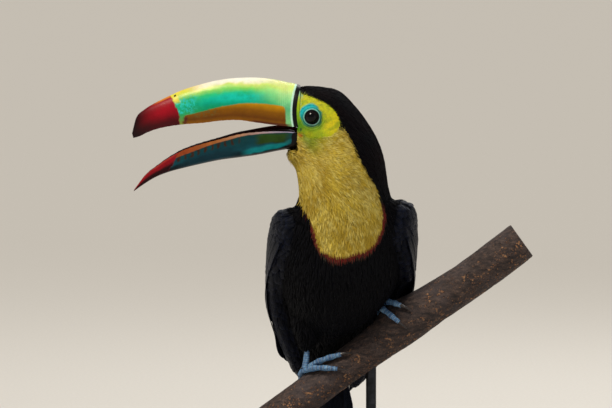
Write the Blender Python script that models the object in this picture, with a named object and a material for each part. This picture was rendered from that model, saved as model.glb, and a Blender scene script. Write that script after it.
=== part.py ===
"""A life-size keel-billed toucan on a cut length of branch, held by a plain display stand.

Metres, +Z up. The origin is the middle of the stand's underside. The bird's breast faces -Y, and its
head is turned a quarter turn to its own right, so that the bill points along -X.
"""

import bmesh
import bpy
import math
from mathutils import Matrix, Vector

MM = 0.001
GAP = 0.3 * MM  # air left between pieces that touch

# The stand and the cut branch
BASE_RADIUS = 100 * MM
BASE_HEIGHT = 18 * MM
BASE_BEVEL = 2.5 * MM
ROD_RADIUS = 4 * MM
ROD_X = 22 * MM  # the rod stands to the left of the tail
ROD_SUNK = 11 * MM  # how far the rod goes into the base, and into the branch
COLLAR_RADIUS = 9 * MM
COLLAR_HEIGHT = 7 * MM
PERCH_SLOPE = math.radians(35.7)
PERCH_HEIGHT = 154.3 * MM  # height of the branch's middle line over the base's centre
PERCH_LOW_END = 116 * MM  # lengths of the branch on either side of the base's centre, along it
PERCH_HIGH_END = 172 * MM

# The bird
BILL_ROOT = Vector((-36, -18, 356.6)) * MM  # the middle of the bill where it meets the face
HEAD_ROLL = 1.5  # degrees that the crown leans towards -Y
EYE_RADIUS = 6.9 * MM
EYE_BACK = -11.6 * MM  # the eye's middle, behind the bill's root
EYE_UP = -3.0 * MM
EYE_APART = 16.2 * MM  # from the head's middle plane to the middle of each eye
TAIL_LENGTH = 124 * MM
TAIL_WIDTH = 46 * MM
TAIL_LEAN = math.radians(12.5)  # back from the upright
TOE_RADIUS = 2.45 * MM
CLAW_LENGTH = 9.5 * MM
BODY_SIDES = 26

# The body's middle line from the bill's root to the tail's root. Each ring has its centre's x, y, z,
# half its width, its depth to the throat or breast, its depth to the nape or back (mm), the lean of
# the line towards the front, and the turn of the front away from -Y towards -X (degrees).
RINGS = (
    (-36.0, -18, 351.8, 16.4, 23.6, 23.8, 90, 90),  # where the bill meets the face
    (-31.4, -18, 350.9, 20.2, 28.6, 28.4, 62, 90),  # eyes and chin
    (-23.1, -18, 347.2, 23.6, 32.6, 32.6, 53, 90),  # cheeks
    (-15.6, -18, 338.8, 26.6, 33.4, 33.4, 44, 90),
    (-10.1, -18, 330.6, 28.8, 34.0, 34.0, 37, 90),  # back of the head
    (-5.3, -18, 320.3, 30.6, 35.2, 35.2, 30, 88),
    (-2.4, -17.8, 310.4, 32.0, 36.2, 36.2, 25, 82),  # middle of the neck
    (-1.0, -17.2, 300.4, 33.6, 36.4, 36.6, 20, 66),
    (-0.7, -15.6, 289.0, 36.8, 37.6, 37.2, 15, 42),  # neck meets the shoulders
    (-0.7, -12.6, 276.5, 41.6, 41.0, 39.2, 13, 18),
    (-0.9, -7.5, 258.0, 45.6, 46.0, 42.6, 15, 2),  # breast
    (-1.5, -0.5, 236.5, 46.6, 47.6, 44.4, 19, 0),
    (-2.8, 7.0, 215.5, 43.6, 42.0, 42.6, 22, 0),  # belly
    (-4.6, 14.6, 197.5, 37.4, 31.0, 37.0, 23, 0),
    (-6.4, 21.6, 181.5, 29.8, 19.5, 28.6, 21, 0),  # vent and rump
    (-7.8, 27.8, 166.0, 24.0, 12.0, 16.5, 17, 0),
    (-8.2, 32.2, 151.0, 20.5, 6.5, 8.5, 14, 0),  # tail's root
)
CUT_HEAD = 4.0  # ring numbers where the head, the neck and the trunk part
CUT_NECK = 8.4
LAST = len(RINGS) - 1


def material(name, hex_colour, roughness, metallic=0.0):
    colour = [int(hex_colour[i : i + 2], 16) / 255 for i in (0, 2, 4)]
    linear = [c / 12.92 if c <= 0.04045 else ((c + 0.055) / 1.055) ** 2.4 for c in colour]
    made = bpy.data.materials.new(name)
    made.use_nodes = True
    shader = made.node_tree.nodes["Principled BSDF"]
    shader.inputs["Base Color"].default_value = (*linear, 1)
    shader.inputs["Roughness"].default_value = roughness
    shader.inputs["Metallic"].default_value = metallic
    return made


def through(knots, at):
    """A smooth curve through knots, each (place, value, ...), read at one place."""
    last = len(knots) - 1
    i = next((k for k in range(last) if at <= knots[k + 1][0]), last - 1)
    (t0, *a), (t1, *b) = knots[i], knots[i + 1]
    (tb, *before), (ta, *after) = knots[max(i - 1, 0)], knots[min(i + 2, last)]
    span = t1 - t0
    u = min(max((at - t0) / span, 0), 1)
    out = []
    for p, q, r, s in zip(before, a, b, after):
        slope_in = (r - p) / (t1 - tb) * span
        slope_out = (s - q) / (ta - t0) * span
        out.append(
            (2 * u**3 - 3 * u**2 + 1) * q
            + (u**3 - 2 * u**2 + u) * slope_in
            + (3 * u**2 - 2 * u**3) * r
            + (u**3 - u**2) * slope_out
        )
    return out


def finish(name, bm, finish_with, smooth_to=40):
    """Makes a bmesh one object with its faces outwards and every twisted face split the same way."""
    bmesh.ops.recalc_face_normals(bm, faces=bm.faces[:])
    bmesh.ops.triangulate(bm, faces=bm.faces[:], quad_method="FIXED", ngon_method="BEAUTY")
    mesh = bpy.data.meshes.new(name)
    bm.to_mesh(mesh)
    bm.free()
    mesh.shade_smooth()
    mesh.set_sharp_from_angle(angle=math.radians(smooth_to))
    made = bpy.data.objects.new(name, mesh)
    bpy.context.scene.collection.objects.link(made)
    made.data.materials.append(finish_with)
    return made


def loft(name, outlines, finish_with, smooth_to=40):
    """Draws the first outline as a face and extrudes its rim through the others, then caps the end."""
    bm = bmesh.new()
    rim = [bm.verts.new(p) for p in outlines[0]]
    bm.faces.new(rim)
    for outline in outlines[1:]:
        edges = [bm.edges.get((a, b)) for a, b in zip(rim, rim[1:] + rim[:1])]
        made = bmesh.ops.extrude_edge_only(bm, edges=edges)["geom"]
        new = {v for v in made if isinstance(v, bmesh.types.BMVert)}
        rim = [next(e.other_vert(v) for e in v.link_edges if e.other_vert(v) in new) for v in rim]
        for v, place in zip(rim, outline):
            v.co = place
    bm.faces.new(rim)
    return finish(name, bm, finish_with, smooth_to)


def cut(target, *cutters):
    """Takes the cutters away from the target, for good, and removes them."""
    for cutter in cutters:
        modifier = target.modifiers.new("cut", "BOOLEAN")
        modifier.operation = "DIFFERENCE"
        modifier.solver = "EXACT"
        modifier.object = cutter
    bpy.context.view_layer.update()
    graph = bpy.context.evaluated_depsgraph_get()
    mesh = bpy.data.meshes.new_from_object(target.evaluated_get(graph))
    target.modifiers.clear()
    target.data = mesh
    mesh.shade_smooth()
    mesh.set_sharp_from_angle(angle=math.radians(40))


def frame_at(place):
    """Centre, along, front and side of the body's middle line at a ring number."""
    knots = [(i, *r) for i, r in enumerate(RINGS)]
    x, y, z, width, breast, back, lean, turn = through(knots, place)
    lean, turn = math.radians(lean), math.radians(turn)
    ahead = Vector((-math.sin(turn), -math.cos(turn), 0))
    along = Vector((0, 0, math.cos(lean))) + ahead * math.sin(lean)
    front = ahead * math.cos(lean) - Vector((0, 0, math.sin(lean)))
    roll = -math.radians(HEAD_ROLL) * min(max((7 - place) / 3, 0), 1)
    front = Matrix.Rotation(roll, 3, along) @ front
    side = along.cross(front)
    return Vector((x, y, z)) * MM, along, front, side, width * MM, breast * MM, back * MM


def body_ring(place, grow=0.0, shift=0.0, sides=BODY_SIDES):
    """The body's outline at a ring number, grown outwards, and shifted along the middle line."""
    centre, along, front, side, width, breast, back = frame_at(place)
    points = []
    for k in range(sides):
        angle = 2 * math.pi * k / sides
        depth = breast if math.cos(angle) > 0 else back
        points.append(
            centre
            + along * shift
            + front * (depth + grow) * math.cos(angle)
            + side * (width + grow) * math.sin(angle)
        )
    return points


def body_piece(name, start, end, steps, finish_with, grow=0.0, ends=GAP / 2):
    """A length of the body between two ring numbers, each end drawn in by a share of the gap."""
    places = [start + (end - start) * k / steps for k in range(steps + 1)]
    shifts = [-ends] + [0.0] * (steps - 1) + [ends]
    rings = [body_ring(p, grow, s) for p, s in zip(places, shifts)]
    return loft(name, rings, finish_with)


def ball(name, centre, radius, finish_with, rings=8, around=13):
    bm = bmesh.new()
    bmesh.ops.create_uvsphere(bm, u_segments=around, v_segments=rings, radius=radius)
    bmesh.ops.rotate(bm, verts=bm.verts, matrix=Matrix.Rotation(math.pi / 2, 3, "X"))
    bmesh.ops.translate(bm, verts=bm.verts, vec=centre)
    return finish(name, bm, finish_with)


def cylinder(name, centre, radius, low, high, finish_with, sides=24):
    """An upright cylinder between two heights."""
    bm = bmesh.new()
    bmesh.ops.create_cone(
        bm, cap_ends=True, segments=sides, radius1=radius, radius2=radius, depth=high - low
    )
    bmesh.ops.translate(bm, verts=bm.verts, vec=Vector((centre[0], centre[1], (low + high) / 2)))
    return finish(name, bm, finish_with)


for old in list(bpy.data.objects):
    bpy.data.objects.remove(old)

BLACK = material("black_plumage", "0B0A0E", 0.55)
YELLOW = material("yellow_plumage", "D9CB5E", 0.75)
BILL_GREEN = material("bill_green", "7FCB72", 0.3)
BILL_TEAL = material("bill_teal", "1F6E78", 0.3)
MOUTH = material("mouth_flesh", "4A1A1C", 0.5)
EYE = material("dark_eye", "0A0908", 0.08)
FOOT = material("foot_blue", "5F8FB5", 0.55)
CLAW = material("claw_horn", "2A2220", 0.4)
BARK = material("bark", "5B4338", 0.85)
WOOD = material("stained_wood", "2B211C", 0.4)
STEEL = material("blackened_steel", "2A2B2D", 0.4, 1.0)


# The stand: a turned wooden disc, a steel rod and the collar round the rod's foot

def drilled(target, radius, low, high):
    drill = cylinder("drill", (ROD_X, 0), radius, low, high, STEEL)
    cut(target, drill)
    bpy.data.objects.remove(drill)


def turned_base():
    bm = bmesh.new()
    bmesh.ops.create_cone(
        bm, cap_ends=True, segments=48, radius1=BASE_RADIUS, radius2=BASE_RADIUS, depth=BASE_HEIGHT
    )
    bmesh.ops.translate(bm, verts=bm.verts, vec=(0, 0, BASE_HEIGHT / 2))
    top = [e for e in bm.edges if all(v.co.z > BASE_HEIGHT / 2 for v in e.verts)]
    bmesh.ops.bevel(bm, geom=top, offset=BASE_BEVEL, segments=2, profile=0.5, affect="EDGES")
    made = finish("stand_base", bm, WOOD, 30)
    drilled(made, ROD_RADIUS + GAP, BASE_HEIGHT - ROD_SUNK, BASE_HEIGHT * 2)
    return made


def collar():
    low = BASE_HEIGHT + GAP
    made = cylinder("stand_collar", (ROD_X, 0), COLLAR_RADIUS, low, low + COLLAR_HEIGHT, STEEL)
    drilled(made, ROD_RADIUS + GAP, 0, BASE_HEIGHT * 2)
    return made


# The branch: a slightly wavy length with sawn ends and a swelling under the left foot

PERCH_ALONG = Vector((math.cos(PERCH_SLOPE), 0, math.sin(PERCH_SLOPE)))
PERCH_TOP = Vector((-math.sin(PERCH_SLOPE), 0, math.cos(PERCH_SLOPE)))
FORWARD = Vector((0, -1, 0))
# Place along the branch, its radius, and how far its middle line stands over the straight (mm)
BRANCH = (
    (-120, 14.6, -1.6),
    (-60, 14.3, -0.6),
    (0, 13.9, 0.3),
    (36, 15.0, 0.6),
    (58, 17.0, 1.5),
    (80, 16.2, 1.0),
    (118, 15.2, -0.6),
    (150, 15.4, -0.4),
    (176, 15.2, 0.6),
)
KNOT_PLACE = 58 * MM
KNOT_HALF = 15 * MM
KNOT_RISE = 2.6 * MM


def perch_axis(along):
    """A point on the branch's middle line, so far up it from over the base's centre."""
    rise = through(BRANCH, along / MM)[1] * MM
    return Vector((0, 0, PERCH_HEIGHT)) + PERCH_ALONG * along + PERCH_TOP * rise


def perch_radius(along, angle=0.0):
    """The branch's radius at an angle from its top, with the knot on its upper side."""
    swell = math.exp(-(((along - KNOT_PLACE) / KNOT_HALF) ** 2)) * max(math.cos(angle), 0)
    return through(BRANCH, along / MM)[0] * MM + KNOT_RISE * swell


def perch_ring(along, grow=0.0, sides=18):
    turns = [2 * math.pi * k / sides for k in range(sides)]
    return [
        perch_axis(along)
        + (PERCH_TOP * math.cos(a) + FORWARD * math.sin(a)) * (perch_radius(along, a) + grow)
        for a in turns
    ]


def perch(name, grow=0.0, steps=18):
    length = PERCH_LOW_END + PERCH_HIGH_END
    places = [-PERCH_LOW_END + length * k / steps for k in range(steps + 1)]
    return loft(name, [perch_ring(p, grow) for p in places], BARK)


# The bill: two horny halves, each hollowed along the mouth, and the tongue

# Each row runs from the face to the tip: share of the length, the ridge's distance ahead and height,
# the cutting edge's distance ahead and height, and half the width, in mm from the bill's root.
UPPER_HALF = (
    (0.0, 0.0, 20.6, 0.0, -11.0, 16.2),
    (0.12, 15.0, 24.3, 17.0, -9.4, 15.6),
    (0.24, 29.5, 26.1, 31.0, -7.6, 15.0),
    (0.36, 44.0, 26.0, 45.0, -5.8, 14.2),
    (0.48, 58.5, 24.5, 58.5, -6.4, 13.2),
    (0.6, 73.0, 21.2, 72.5, -8.2, 12.0),
    (0.72, 88.0, 16.6, 87.0, -9.4, 10.6),
    (0.82, 100.0, 11.2, 98.0, -11.0, 9.0),
    (0.9, 110.0, 6.2, 107.5, -13.2, 7.2),
    (0.955, 118.2, 1.0, 115.5, -16.2, 5.2),
    (0.985, 124.0, -5.0, 121.5, -19.2, 3.0),
    (1.0, 127.2, -17.0, 126.2, -20.6, 0.9),
)
# Of the lower half, the keel stands in place of the ridge.
LOWER_HALF = (
    (0.0, 0.8, -28.0, 0.8, -15.0, 14.4),
    (0.12, 15.0, -30.6, 15.5, -14.5, 14.0),
    (0.24, 29.5, -33.5, 29.5, -14.9, 13.4),
    (0.36, 44.0, -35.6, 43.5, -16.6, 12.6),
    (0.48, 58.5, -37.5, 57.5, -20.2, 11.5),
    (0.6, 73.0, -40.5, 71.5, -24.0, 10.1),
    (0.72, 87.0, -43.8, 85.5, -28.6, 8.5),
    (0.82, 98.8, -47.0, 97.0, -34.4, 6.8),
    (0.9, 109.0, -51.0, 107.5, -41.6, 5.1),
    (0.96, 118.0, -56.4, 117.0, -49.2, 3.2),
    (1.0, 126.2, -62.2, 125.6, -60.6, 0.9),
)
BILL_SIDES = 21


def head_place(ahead, up, across=0.0):
    """A point ahead of, above and to the left of the bill's root, on the rolled head."""
    roll = Matrix.Rotation(-math.radians(HEAD_ROLL), 3, Vector((-1, 0, 0)))
    return BILL_ROOT + roll @ Vector((-ahead, -across, up))


def bill_outline(table, share, hollow, grow=0.0):
    """Round outside from one cutting edge over the ridge to the other, then back along the mouth."""
    far_ahead, far_up, edge_ahead, edge_up, width = (v * MM for v in through(table, share))
    sign = math.copysign(1, far_up - edge_up)
    far_up, edge_up, width = far_up + grow * sign, edge_up - grow * sign, width + grow
    outer = BILL_SIDES - 7
    points = []
    for k in range(outer):
        angle = math.pi * k / (outer - 1)
        across = -width * math.copysign(abs(math.cos(angle)) ** 0.82, math.cos(angle))
        rise = abs(math.sin(angle)) ** 0.9
        ahead = edge_ahead + (far_ahead - edge_ahead) * rise
        up = edge_up + (far_up - edge_up) * rise
        points.append(head_place(ahead, up, across))
    for k in range(1, 8):
        across = width * (1 - k / 4) * 0.86
        rise = hollow * (1 - (abs(across) / (width * 0.86)) ** 2.5)
        ahead = edge_ahead + (far_ahead - edge_ahead) * rise
        up = edge_up + (far_up - edge_up) * rise
        points.append(head_place(ahead, up, across))
    return points


def bill_half(name, table, hollow, finish_with, steps=15, grow=0.0):
    shares = [math.sin(k / steps * math.pi / 2) ** 1.15 for k in range(steps + 1)]
    outlines = [bill_outline(table, s, hollow * (1 - s**3), grow) for s in shares]
    shift = head_place(GAP - grow * 3, 0) - head_place(0, 0)
    return loft(name, [[p + shift for p in o] for o in outlines], finish_with, 50)


def tongue():
    length, thick = 92 * MM, 1.1 * MM
    outlines = []
    for k in range(11):
        share = k / 10
        edge = through(LOWER_HALF, share * 0.72)
        bed = (edge[3] - 5.4 * (1 - share * 0.45)) * MM
        width = (3.6 - 2.6 * share) * MM
        high = thick * (1 - share * 0.4)
        square = ((-1, -1), (0, -1.3), (1, -1), (1, 0.4), (0, 1), (-1, 0.4))
        outlines.append([head_place(GAP + length * share, bed + b * high, a * width) for a, b in square])
    return loft("tongue", outlines, MOUTH, 50)


# The wings and the tail

def flat_ring(centre, across, out, width, thick, sides=14):
    """A flattened outline: half its width along across, half its thickness along out."""
    turns = [2 * math.pi * k / sides for k in range(sides)]
    return [centre + across * width * math.cos(a) + out * thick * math.sin(a) for a in turns]


# From the bend of the folded wing to its tip: share of the length, the middle's place (mm, on the
# bird's left side, from the body's middle line), half the width and half the thickness (mm), and
# the turn of the flat of the wing about the upright, from facing +X towards +Y (degrees).
WING = (
    (0.0, 41.0, -24, 288, 5, 5, -28),
    (0.06, 45.0, -20, 283, 13, 10, -20),
    (0.18, 46.5, -8, 268, 24, 13, -8),
    (0.35, 46.5, 11, 246, 28, 13, 8),
    (0.55, 43.5, 30, 216, 25, 12, 26),
    (0.72, 35.0, 40, 188, 20, 12, 42),
    (0.87, 25.5, 46.5, 162, 15.5, 10.5, 56),
    (0.96, 19.5, 50, 144, 10, 6.5, 66),
    (1.0, 15.0, 52.5, 133, 3.5, 2.5, 72),
)


RIGHT_DROP = Vector((5.0, 0, -7.0)) * MM  # the right shoulder hangs lower and closer in


def wing(name, hand, steps=14):
    outlines = []
    for k in range(steps + 1):
        share = k / steps
        x, y, z, width, thick, turn = through(WING, share)
        middle = frame_at(9 + 6 * share)[0].x
        turn = math.radians(turn)
        out = Vector((hand * math.cos(turn), math.sin(turn), 0.12)).normalized()
        across = Vector((-hand * math.sin(turn), math.cos(turn), 0.28)).normalized()
        centre = Vector((middle + hand * x * MM, y * MM, z * MM))
        if hand < 0:
            centre += RIGHT_DROP * (1 - share) ** 3
        outlines.append(flat_ring(centre, across, out, width * MM, thick * MM))
    return loft(name, outlines, BLACK)


def tail(name, grow=0.0, steps=8):
    root, along, front, side = frame_at(LAST)[:4]
    down = Vector((0, math.sin(TAIL_LEAN), -math.cos(TAIL_LEAN)))
    across = side.normalized()
    thickness = across.cross(down).normalized()
    outlines = []
    for k in range(steps + 1):
        share = k / steps
        width, thick = through(
            ((0, 20.0, 6.5), (0.15, 21.5, 4.6), (0.6, 23.2, 2.8), (0.93, 23.5, 1.9), (1, 18.5, 1.5)), share
        )
        centre = root + down * (GAP * 2 - grow + (TAIL_LENGTH + 2 * grow) * share)
        width, thick = width / 23.5 * TAIL_WIDTH / 2 + grow, thick * MM + grow
        outlines.append(flat_ring(centre, across, thickness, width, thick, 12))
    return loft(name, outlines, BLACK)


# The legs. The feathered thigh ends above the foot, and the scaly shank stands on the toes' pad.

# Each foot: its place along the branch, the drift of its toes up the branch (mm)
FEET = {"right": (-23.5, 25.0), "left": (54.0, 7.0)}
HIPS = {"right": Vector((-25, 7, 207)) * MM, "left": Vector((31, 5, 243)) * MM}
SHANK_LENGTH = 9 * MM
THIGH_RADII = (4.5, 8.0, 11.5, 14.0, 15.5, 15.5, 12)
# Toes: name, start and end angle round the branch from its top (degrees, forwards is positive),
# offset of the root and of the tip along the branch (mm), and the share of the foot's drift
TOES = (
    ("front_inner", 8, 52, 2.5, 6.0, 1.0),
    ("front_outer", 8, 80, -3.0, -3.0, 1.0),
    ("rear_inner", -12, -58, 2.5, 7.0, 0.1),
    ("rear_outer", -12, -74, -3.0, -8.0, -0.2),
)


def tube(name, points, radii, finish_with, sides=7, flat=1.0):
    """A round-ended tube along points, turned square to them."""
    outlines = []
    up = (points[1] - points[0]).normalized().orthogonal()
    for k, (p, r) in enumerate(zip(points, radii)):
        along = (points[min(k + 1, len(points) - 1)] - points[max(k - 1, 0)]).normalized()
        up = (up - along * up.dot(along)).normalized()
        side = along.cross(up)
        turns = [2 * math.pi * j / sides for j in range(sides)]
        outlines.append([p + (up * math.cos(a) * flat + side * math.sin(a)) * r for a in turns])
    return loft(name, outlines, finish_with, 60)


def toe_point(foot_along, angle, shift, lift):
    """A point round the branch, lifted off its bark."""
    along = foot_along + shift
    turn = math.radians(angle)
    reach = perch_radius(along, turn) + GAP + lift
    return perch_axis(along) + (PERCH_TOP * math.cos(turn) + FORWARD * math.sin(turn)) * reach


def toe_and_claw(hand, toe, foot_along, drift):
    name, first, last, root_off, tip_off, share = toe
    steps = 8
    points, radii = [], []
    for k in range(steps + 1):
        u = k / steps
        knuckle = 1 + 0.13 * math.cos(u * 3 * 2 * math.pi)
        radius = TOE_RADIUS * (1 - 0.22 * u) * knuckle * (0.62 if k in (0, steps) else 1)
        shift = (root_off + (tip_off - root_off) * u + drift * share * u) * MM
        arch = 0.5 * MM * math.sin(u * math.pi)
        points.append(toe_point(foot_along, first + (last - first) * u, shift, TOE_RADIUS * 1.16 + arch))
        radii.append(radius)
    tube(f"toe_{hand}_{name}", points, radii, FOOT)
    ahead = (points[-1] - points[-2]).normalized()
    middle = perch_axis(foot_along + shift)
    inward = (middle - points[-1]).normalized()
    outward = -(inward - ahead * inward.dot(ahead)).normalized()
    start = points[-1] + ahead * (GAP + 0.2 * MM)
    claw_points, claw_radii = [], []
    for k in range(6):
        u = k / 5
        bend = u * math.radians(66)
        reach = CLAW_LENGTH / math.radians(66)
        dip = (1 - math.cos(bend)) * reach * 0.55
        claw_points.append(start + ahead * math.sin(bend) * reach - outward * dip)
        claw_radii.append((1.75 - 1.45 * u) * MM)
    tube(f"claw_{hand}_{name}", claw_points, claw_radii, CLAW, sides=6, flat=1.0)


def thigh(name, hand, knee, grow=0.0):
    rise = (HIPS[hand] - knee).normalized()
    reach = (HIPS[hand] - knee).length + 6 * MM
    points = [knee + rise * (GAP - grow + (reach + 2 * grow) * k / 6) for k in range(7)]
    return tube(name, points, [r * MM + grow for r in THIGH_RADII], BLACK, sides=14)


def shank(name, hand, grow=0.0):
    """The bare lower leg, from the toes' pad up to the thigh. Gives its upper end too."""
    along = FEET[hand][0] * MM
    pad = perch_axis(along) + PERCH_TOP * (perch_radius(along) + GAP + TOE_RADIUS * 2.6)
    rise = (HIPS[hand] - pad).normalized()
    foot_top = pad + rise * (0.8 * MM - grow)
    knee = pad + rise * (0.8 * MM + SHANK_LENGTH)
    points = [foot_top + (knee - foot_top) * k / 4 for k in range(5)]
    radii = [r * MM + grow for r in (2.2, 2.5, 2.3, 2.5, 2.6)]
    return tube(name, points, radii, FOOT, flat=1.15), knee


# Everything put together

turned_base()
collar()
perch("perch")
rod_foot = perch_axis(ROD_X / math.cos(PERCH_SLOPE))
rod_top = rod_foot.z - perch_radius(ROD_X) / math.cos(PERCH_SLOPE) + ROD_SUNK
cylinder("stand_rod", (ROD_X, 0), ROD_RADIUS, BASE_HEIGHT - ROD_SUNK + GAP, rod_top - GAP, STEEL)
drilled(bpy.data.objects["perch"], ROD_RADIUS + GAP, 0, rod_top)

bill_half("bill_upper", UPPER_HALF, 0.22, BILL_GREEN)
bill_half("bill_lower", LOWER_HALF, 0.62, BILL_TEAL)
tongue()

head = body_piece("head", 0, CUT_HEAD, 9, YELLOW)
neck = body_piece("neck", CUT_HEAD, CUT_NECK, 8, YELLOW)
trunk = body_piece("trunk", CUT_NECK, LAST, 13, BLACK)
tail("tail")
wider = 1.3 * GAP
grown_neck = body_piece("grown_neck", CUT_HEAD, CUT_NECK, 8, YELLOW, wider, -GAP)
grown_trunk = body_piece("grown_trunk", CUT_NECK, LAST, 13, BLACK, wider, -GAP)
grown_tail = tail("grown_tail", wider)
grown_perch = perch("grown_perch", wider)
clear_of_toes = perch("clear_of_toes", TOE_RADIUS * 2.9 + GAP)
grown_bill = bill_half("grown_bill", LOWER_HALF, 0.0, BILL_TEAL, grow=wider)
cut(head, grown_bill)
helpers = [grown_neck, grown_trunk, grown_tail, grown_perch, clear_of_toes, grown_bill]

for hand, side in (("left", 1), ("right", -1)):
    centre = head_place(EYE_BACK, EYE_UP, side * EYE_APART)
    ball(f"eye_{hand}", centre, EYE_RADIUS, EYE)
    socket = ball("socket", centre, EYE_RADIUS + GAP, EYE)
    cut(head, socket)
    for toe in TOES:
        toe_and_claw(hand, toe, FEET[hand][0] * MM, FEET[hand][1])
    knee = shank(f"shank_{hand}", hand)[1]
    grown_shank = shank("grown_shank", hand, wider)[0]
    leg_top = thigh(f"thigh_{hand}", hand, knee)
    grown_thigh = thigh("grown_thigh", hand, knee, wider)
    folded = wing(f"wing_{hand}", side)
    cut(leg_top, clear_of_toes)
    cut(trunk, grown_thigh, grown_shank)
    cut(folded, grown_trunk, grown_neck, grown_tail, grown_thigh, clear_of_toes)
    helpers += [socket, grown_thigh, grown_shank]
cut(trunk, clear_of_toes)
for helper in helpers:
    bpy.data.objects.remove(helper)
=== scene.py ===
"""The visual model of a life-size keel-billed toucan on a cut branch, held by a display stand.

Metres, +Z up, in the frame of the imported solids. The breast faces -Y and the bill points along -X.
"""
import math
import bmesh
import bpy
import numpy as np
from mathutils import Matrix, Vector, noise
from mathutils.bvhtree import BVHTree


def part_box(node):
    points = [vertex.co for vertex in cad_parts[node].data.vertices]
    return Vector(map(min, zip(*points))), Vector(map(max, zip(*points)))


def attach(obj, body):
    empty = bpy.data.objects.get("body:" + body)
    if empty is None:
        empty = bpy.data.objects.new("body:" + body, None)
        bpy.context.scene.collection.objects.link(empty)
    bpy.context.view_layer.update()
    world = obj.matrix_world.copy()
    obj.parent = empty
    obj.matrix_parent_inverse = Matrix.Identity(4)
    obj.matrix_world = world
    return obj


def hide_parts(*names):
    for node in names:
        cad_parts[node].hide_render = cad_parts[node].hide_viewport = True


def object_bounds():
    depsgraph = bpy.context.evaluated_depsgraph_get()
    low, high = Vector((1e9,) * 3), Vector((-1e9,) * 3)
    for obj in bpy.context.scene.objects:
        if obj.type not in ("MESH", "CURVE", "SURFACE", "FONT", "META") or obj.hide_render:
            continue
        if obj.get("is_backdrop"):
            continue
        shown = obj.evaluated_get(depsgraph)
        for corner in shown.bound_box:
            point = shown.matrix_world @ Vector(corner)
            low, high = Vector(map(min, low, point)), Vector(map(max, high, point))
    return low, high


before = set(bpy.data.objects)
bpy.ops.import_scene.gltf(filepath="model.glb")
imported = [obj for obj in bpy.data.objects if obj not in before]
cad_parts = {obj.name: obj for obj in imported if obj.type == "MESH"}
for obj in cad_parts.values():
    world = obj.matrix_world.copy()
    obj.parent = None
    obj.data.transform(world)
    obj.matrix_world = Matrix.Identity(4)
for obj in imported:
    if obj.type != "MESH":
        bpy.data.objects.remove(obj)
cad_low, cad_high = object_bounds()


# The stand's base: a disc of walnut turned on a lathe with a step and a round nose at its rim, stained
# dark and finished with satin varnish.

MM = 0.001
ROD_X = 22 * MM
base_low, base_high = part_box("stand_base")
BASE_RADIUS = (base_high.x - base_low.x) / 2
BASE_HEIGHT = base_high.z


def linear(hex_colour):
    """An sRGB hex colour as the shader's linear numbers."""
    parts = [int(hex_colour[i : i + 2], 16) / 255 for i in (0, 2, 4)]
    return (*[p / 12.92 if p <= 0.04045 else ((p + 0.055) / 1.055) ** 2.4 for p in parts], 1)


bench = {}  # the finish that is being made: its node tree and its shader


def finish_named(name, **sockets):
    """Puts a new material on the bench, with the shader's own sockets set."""
    made = bpy.data.materials.new(name)
    made.use_nodes = True
    bench["tree"] = made.node_tree
    bench["shader"] = made.node_tree.nodes["Principled BSDF"].inputs
    for socket, value in sockets.items():
        bench["shader"][socket.replace("_", " ")].default_value = value
    return made


MODES = {
    "Math": "operation", "VectorMath": "operation", "MapRange": "interpolation_type", "Mix": "blend_type",
}


def add(kind, *values, out=None, **settings):
    """Adds a shader node and gives the output that is used.

    kind may name the node's mode after a colon. The values fill its inputs in turn; each setting is an
    input's name, a property's, or a ramp's stops or a curve's bends. A value is an output, which is
    linked, a number, or a hex colour.
    """
    kind, _, mode = kind.partition(":")
    made = bench["tree"].nodes.new("ShaderNode" + kind)
    if kind == "Mix":
        made.data_type = "RGBA"
    if mode:
        setattr(made, MODES[kind], mode)
    inputs = list(zip([i for i in made.inputs if i.enabled], values))
    for key, value in settings.items():
        if key == "stops":
            stops = made.color_ramp.elements
            while len(stops) < len(value):
                stops.new(0.5)
            for stop, (at, colour) in zip(stops, value):
                stop.position, stop.color = at, linear(colour)
        elif key == "bends":
            points = made.mapping.curves[0].points
            while len(points) < len(value):
                points.new(0.5, 0.5)
            for point, spot in zip(points, value):
                point.location = spot
            made.mapping.update()
        elif key in made.inputs:
            inputs.append((made.inputs[key], value))
        else:
            setattr(made, key, value)
    for socket, value in inputs:
        if isinstance(value, bpy.types.NodeSocket):
            bench["tree"].links.new(value, socket)
        else:
            socket.default_value = linear(value) if isinstance(value, str) else value
    return made.outputs[out] if out else next(o for o in made.outputs if o.enabled)


def drawn_out(place, stretch, detail, turn=0, **more):
    """A grain: noise whose stretch is small along it and large across, turned about Y."""
    along = add("Mapping", place, Rotation=(0, turn, 0), Scale=stretch)
    return add("TexNoise", along, Scale=1, Detail=detail, **more)


def surface(tone, height=None, depth=0, rough=None, low=0, high=1):
    """Ends the finish: its colour, a bump so many metres deep, and the roughness that a pattern sets."""
    ends = {"Base Color": tone}
    if height:
        ends["Normal"] = add("Bump", Height=height, Distance=depth, Strength=1.0)
        ends["Roughness"] = add("MapRange", rough, 0, 1, low, high)
    for socket, value in ends.items():
        bench["tree"].links.new(value, bench["shader"][socket])


def placed(name, data):
    """An object at the origin, in the scene."""
    made = bpy.data.objects.new(name, data)
    bpy.context.scene.collection.objects.link(made)
    return made


def as_mesh(bm, name, sharp_from):
    """Ends a bmesh: faces outwards, shaded smooth up to an angle."""
    bmesh.ops.recalc_face_normals(bm, faces=bm.faces[:])
    mesh = bpy.data.meshes.new(name)
    bm.to_mesh(mesh)
    bm.free()
    mesh.shade_smooth()
    mesh.set_sharp_from_angle(angle=math.radians(sharp_from))
    return mesh


def piece(name, shape, finishes, slot, *nodes, sharp_from=60):
    """Makes a bmesh or mesh a piece that rides on the model and stands for the named solids."""
    mesh = as_mesh(shape, name, sharp_from) if isinstance(shape, bmesh.types.BMesh) else shape
    made = placed(name, mesh)
    for finish in finishes:
        mesh.materials.append(finish)
    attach(made, "root")
    if nodes:
        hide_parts(*nodes)


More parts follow.
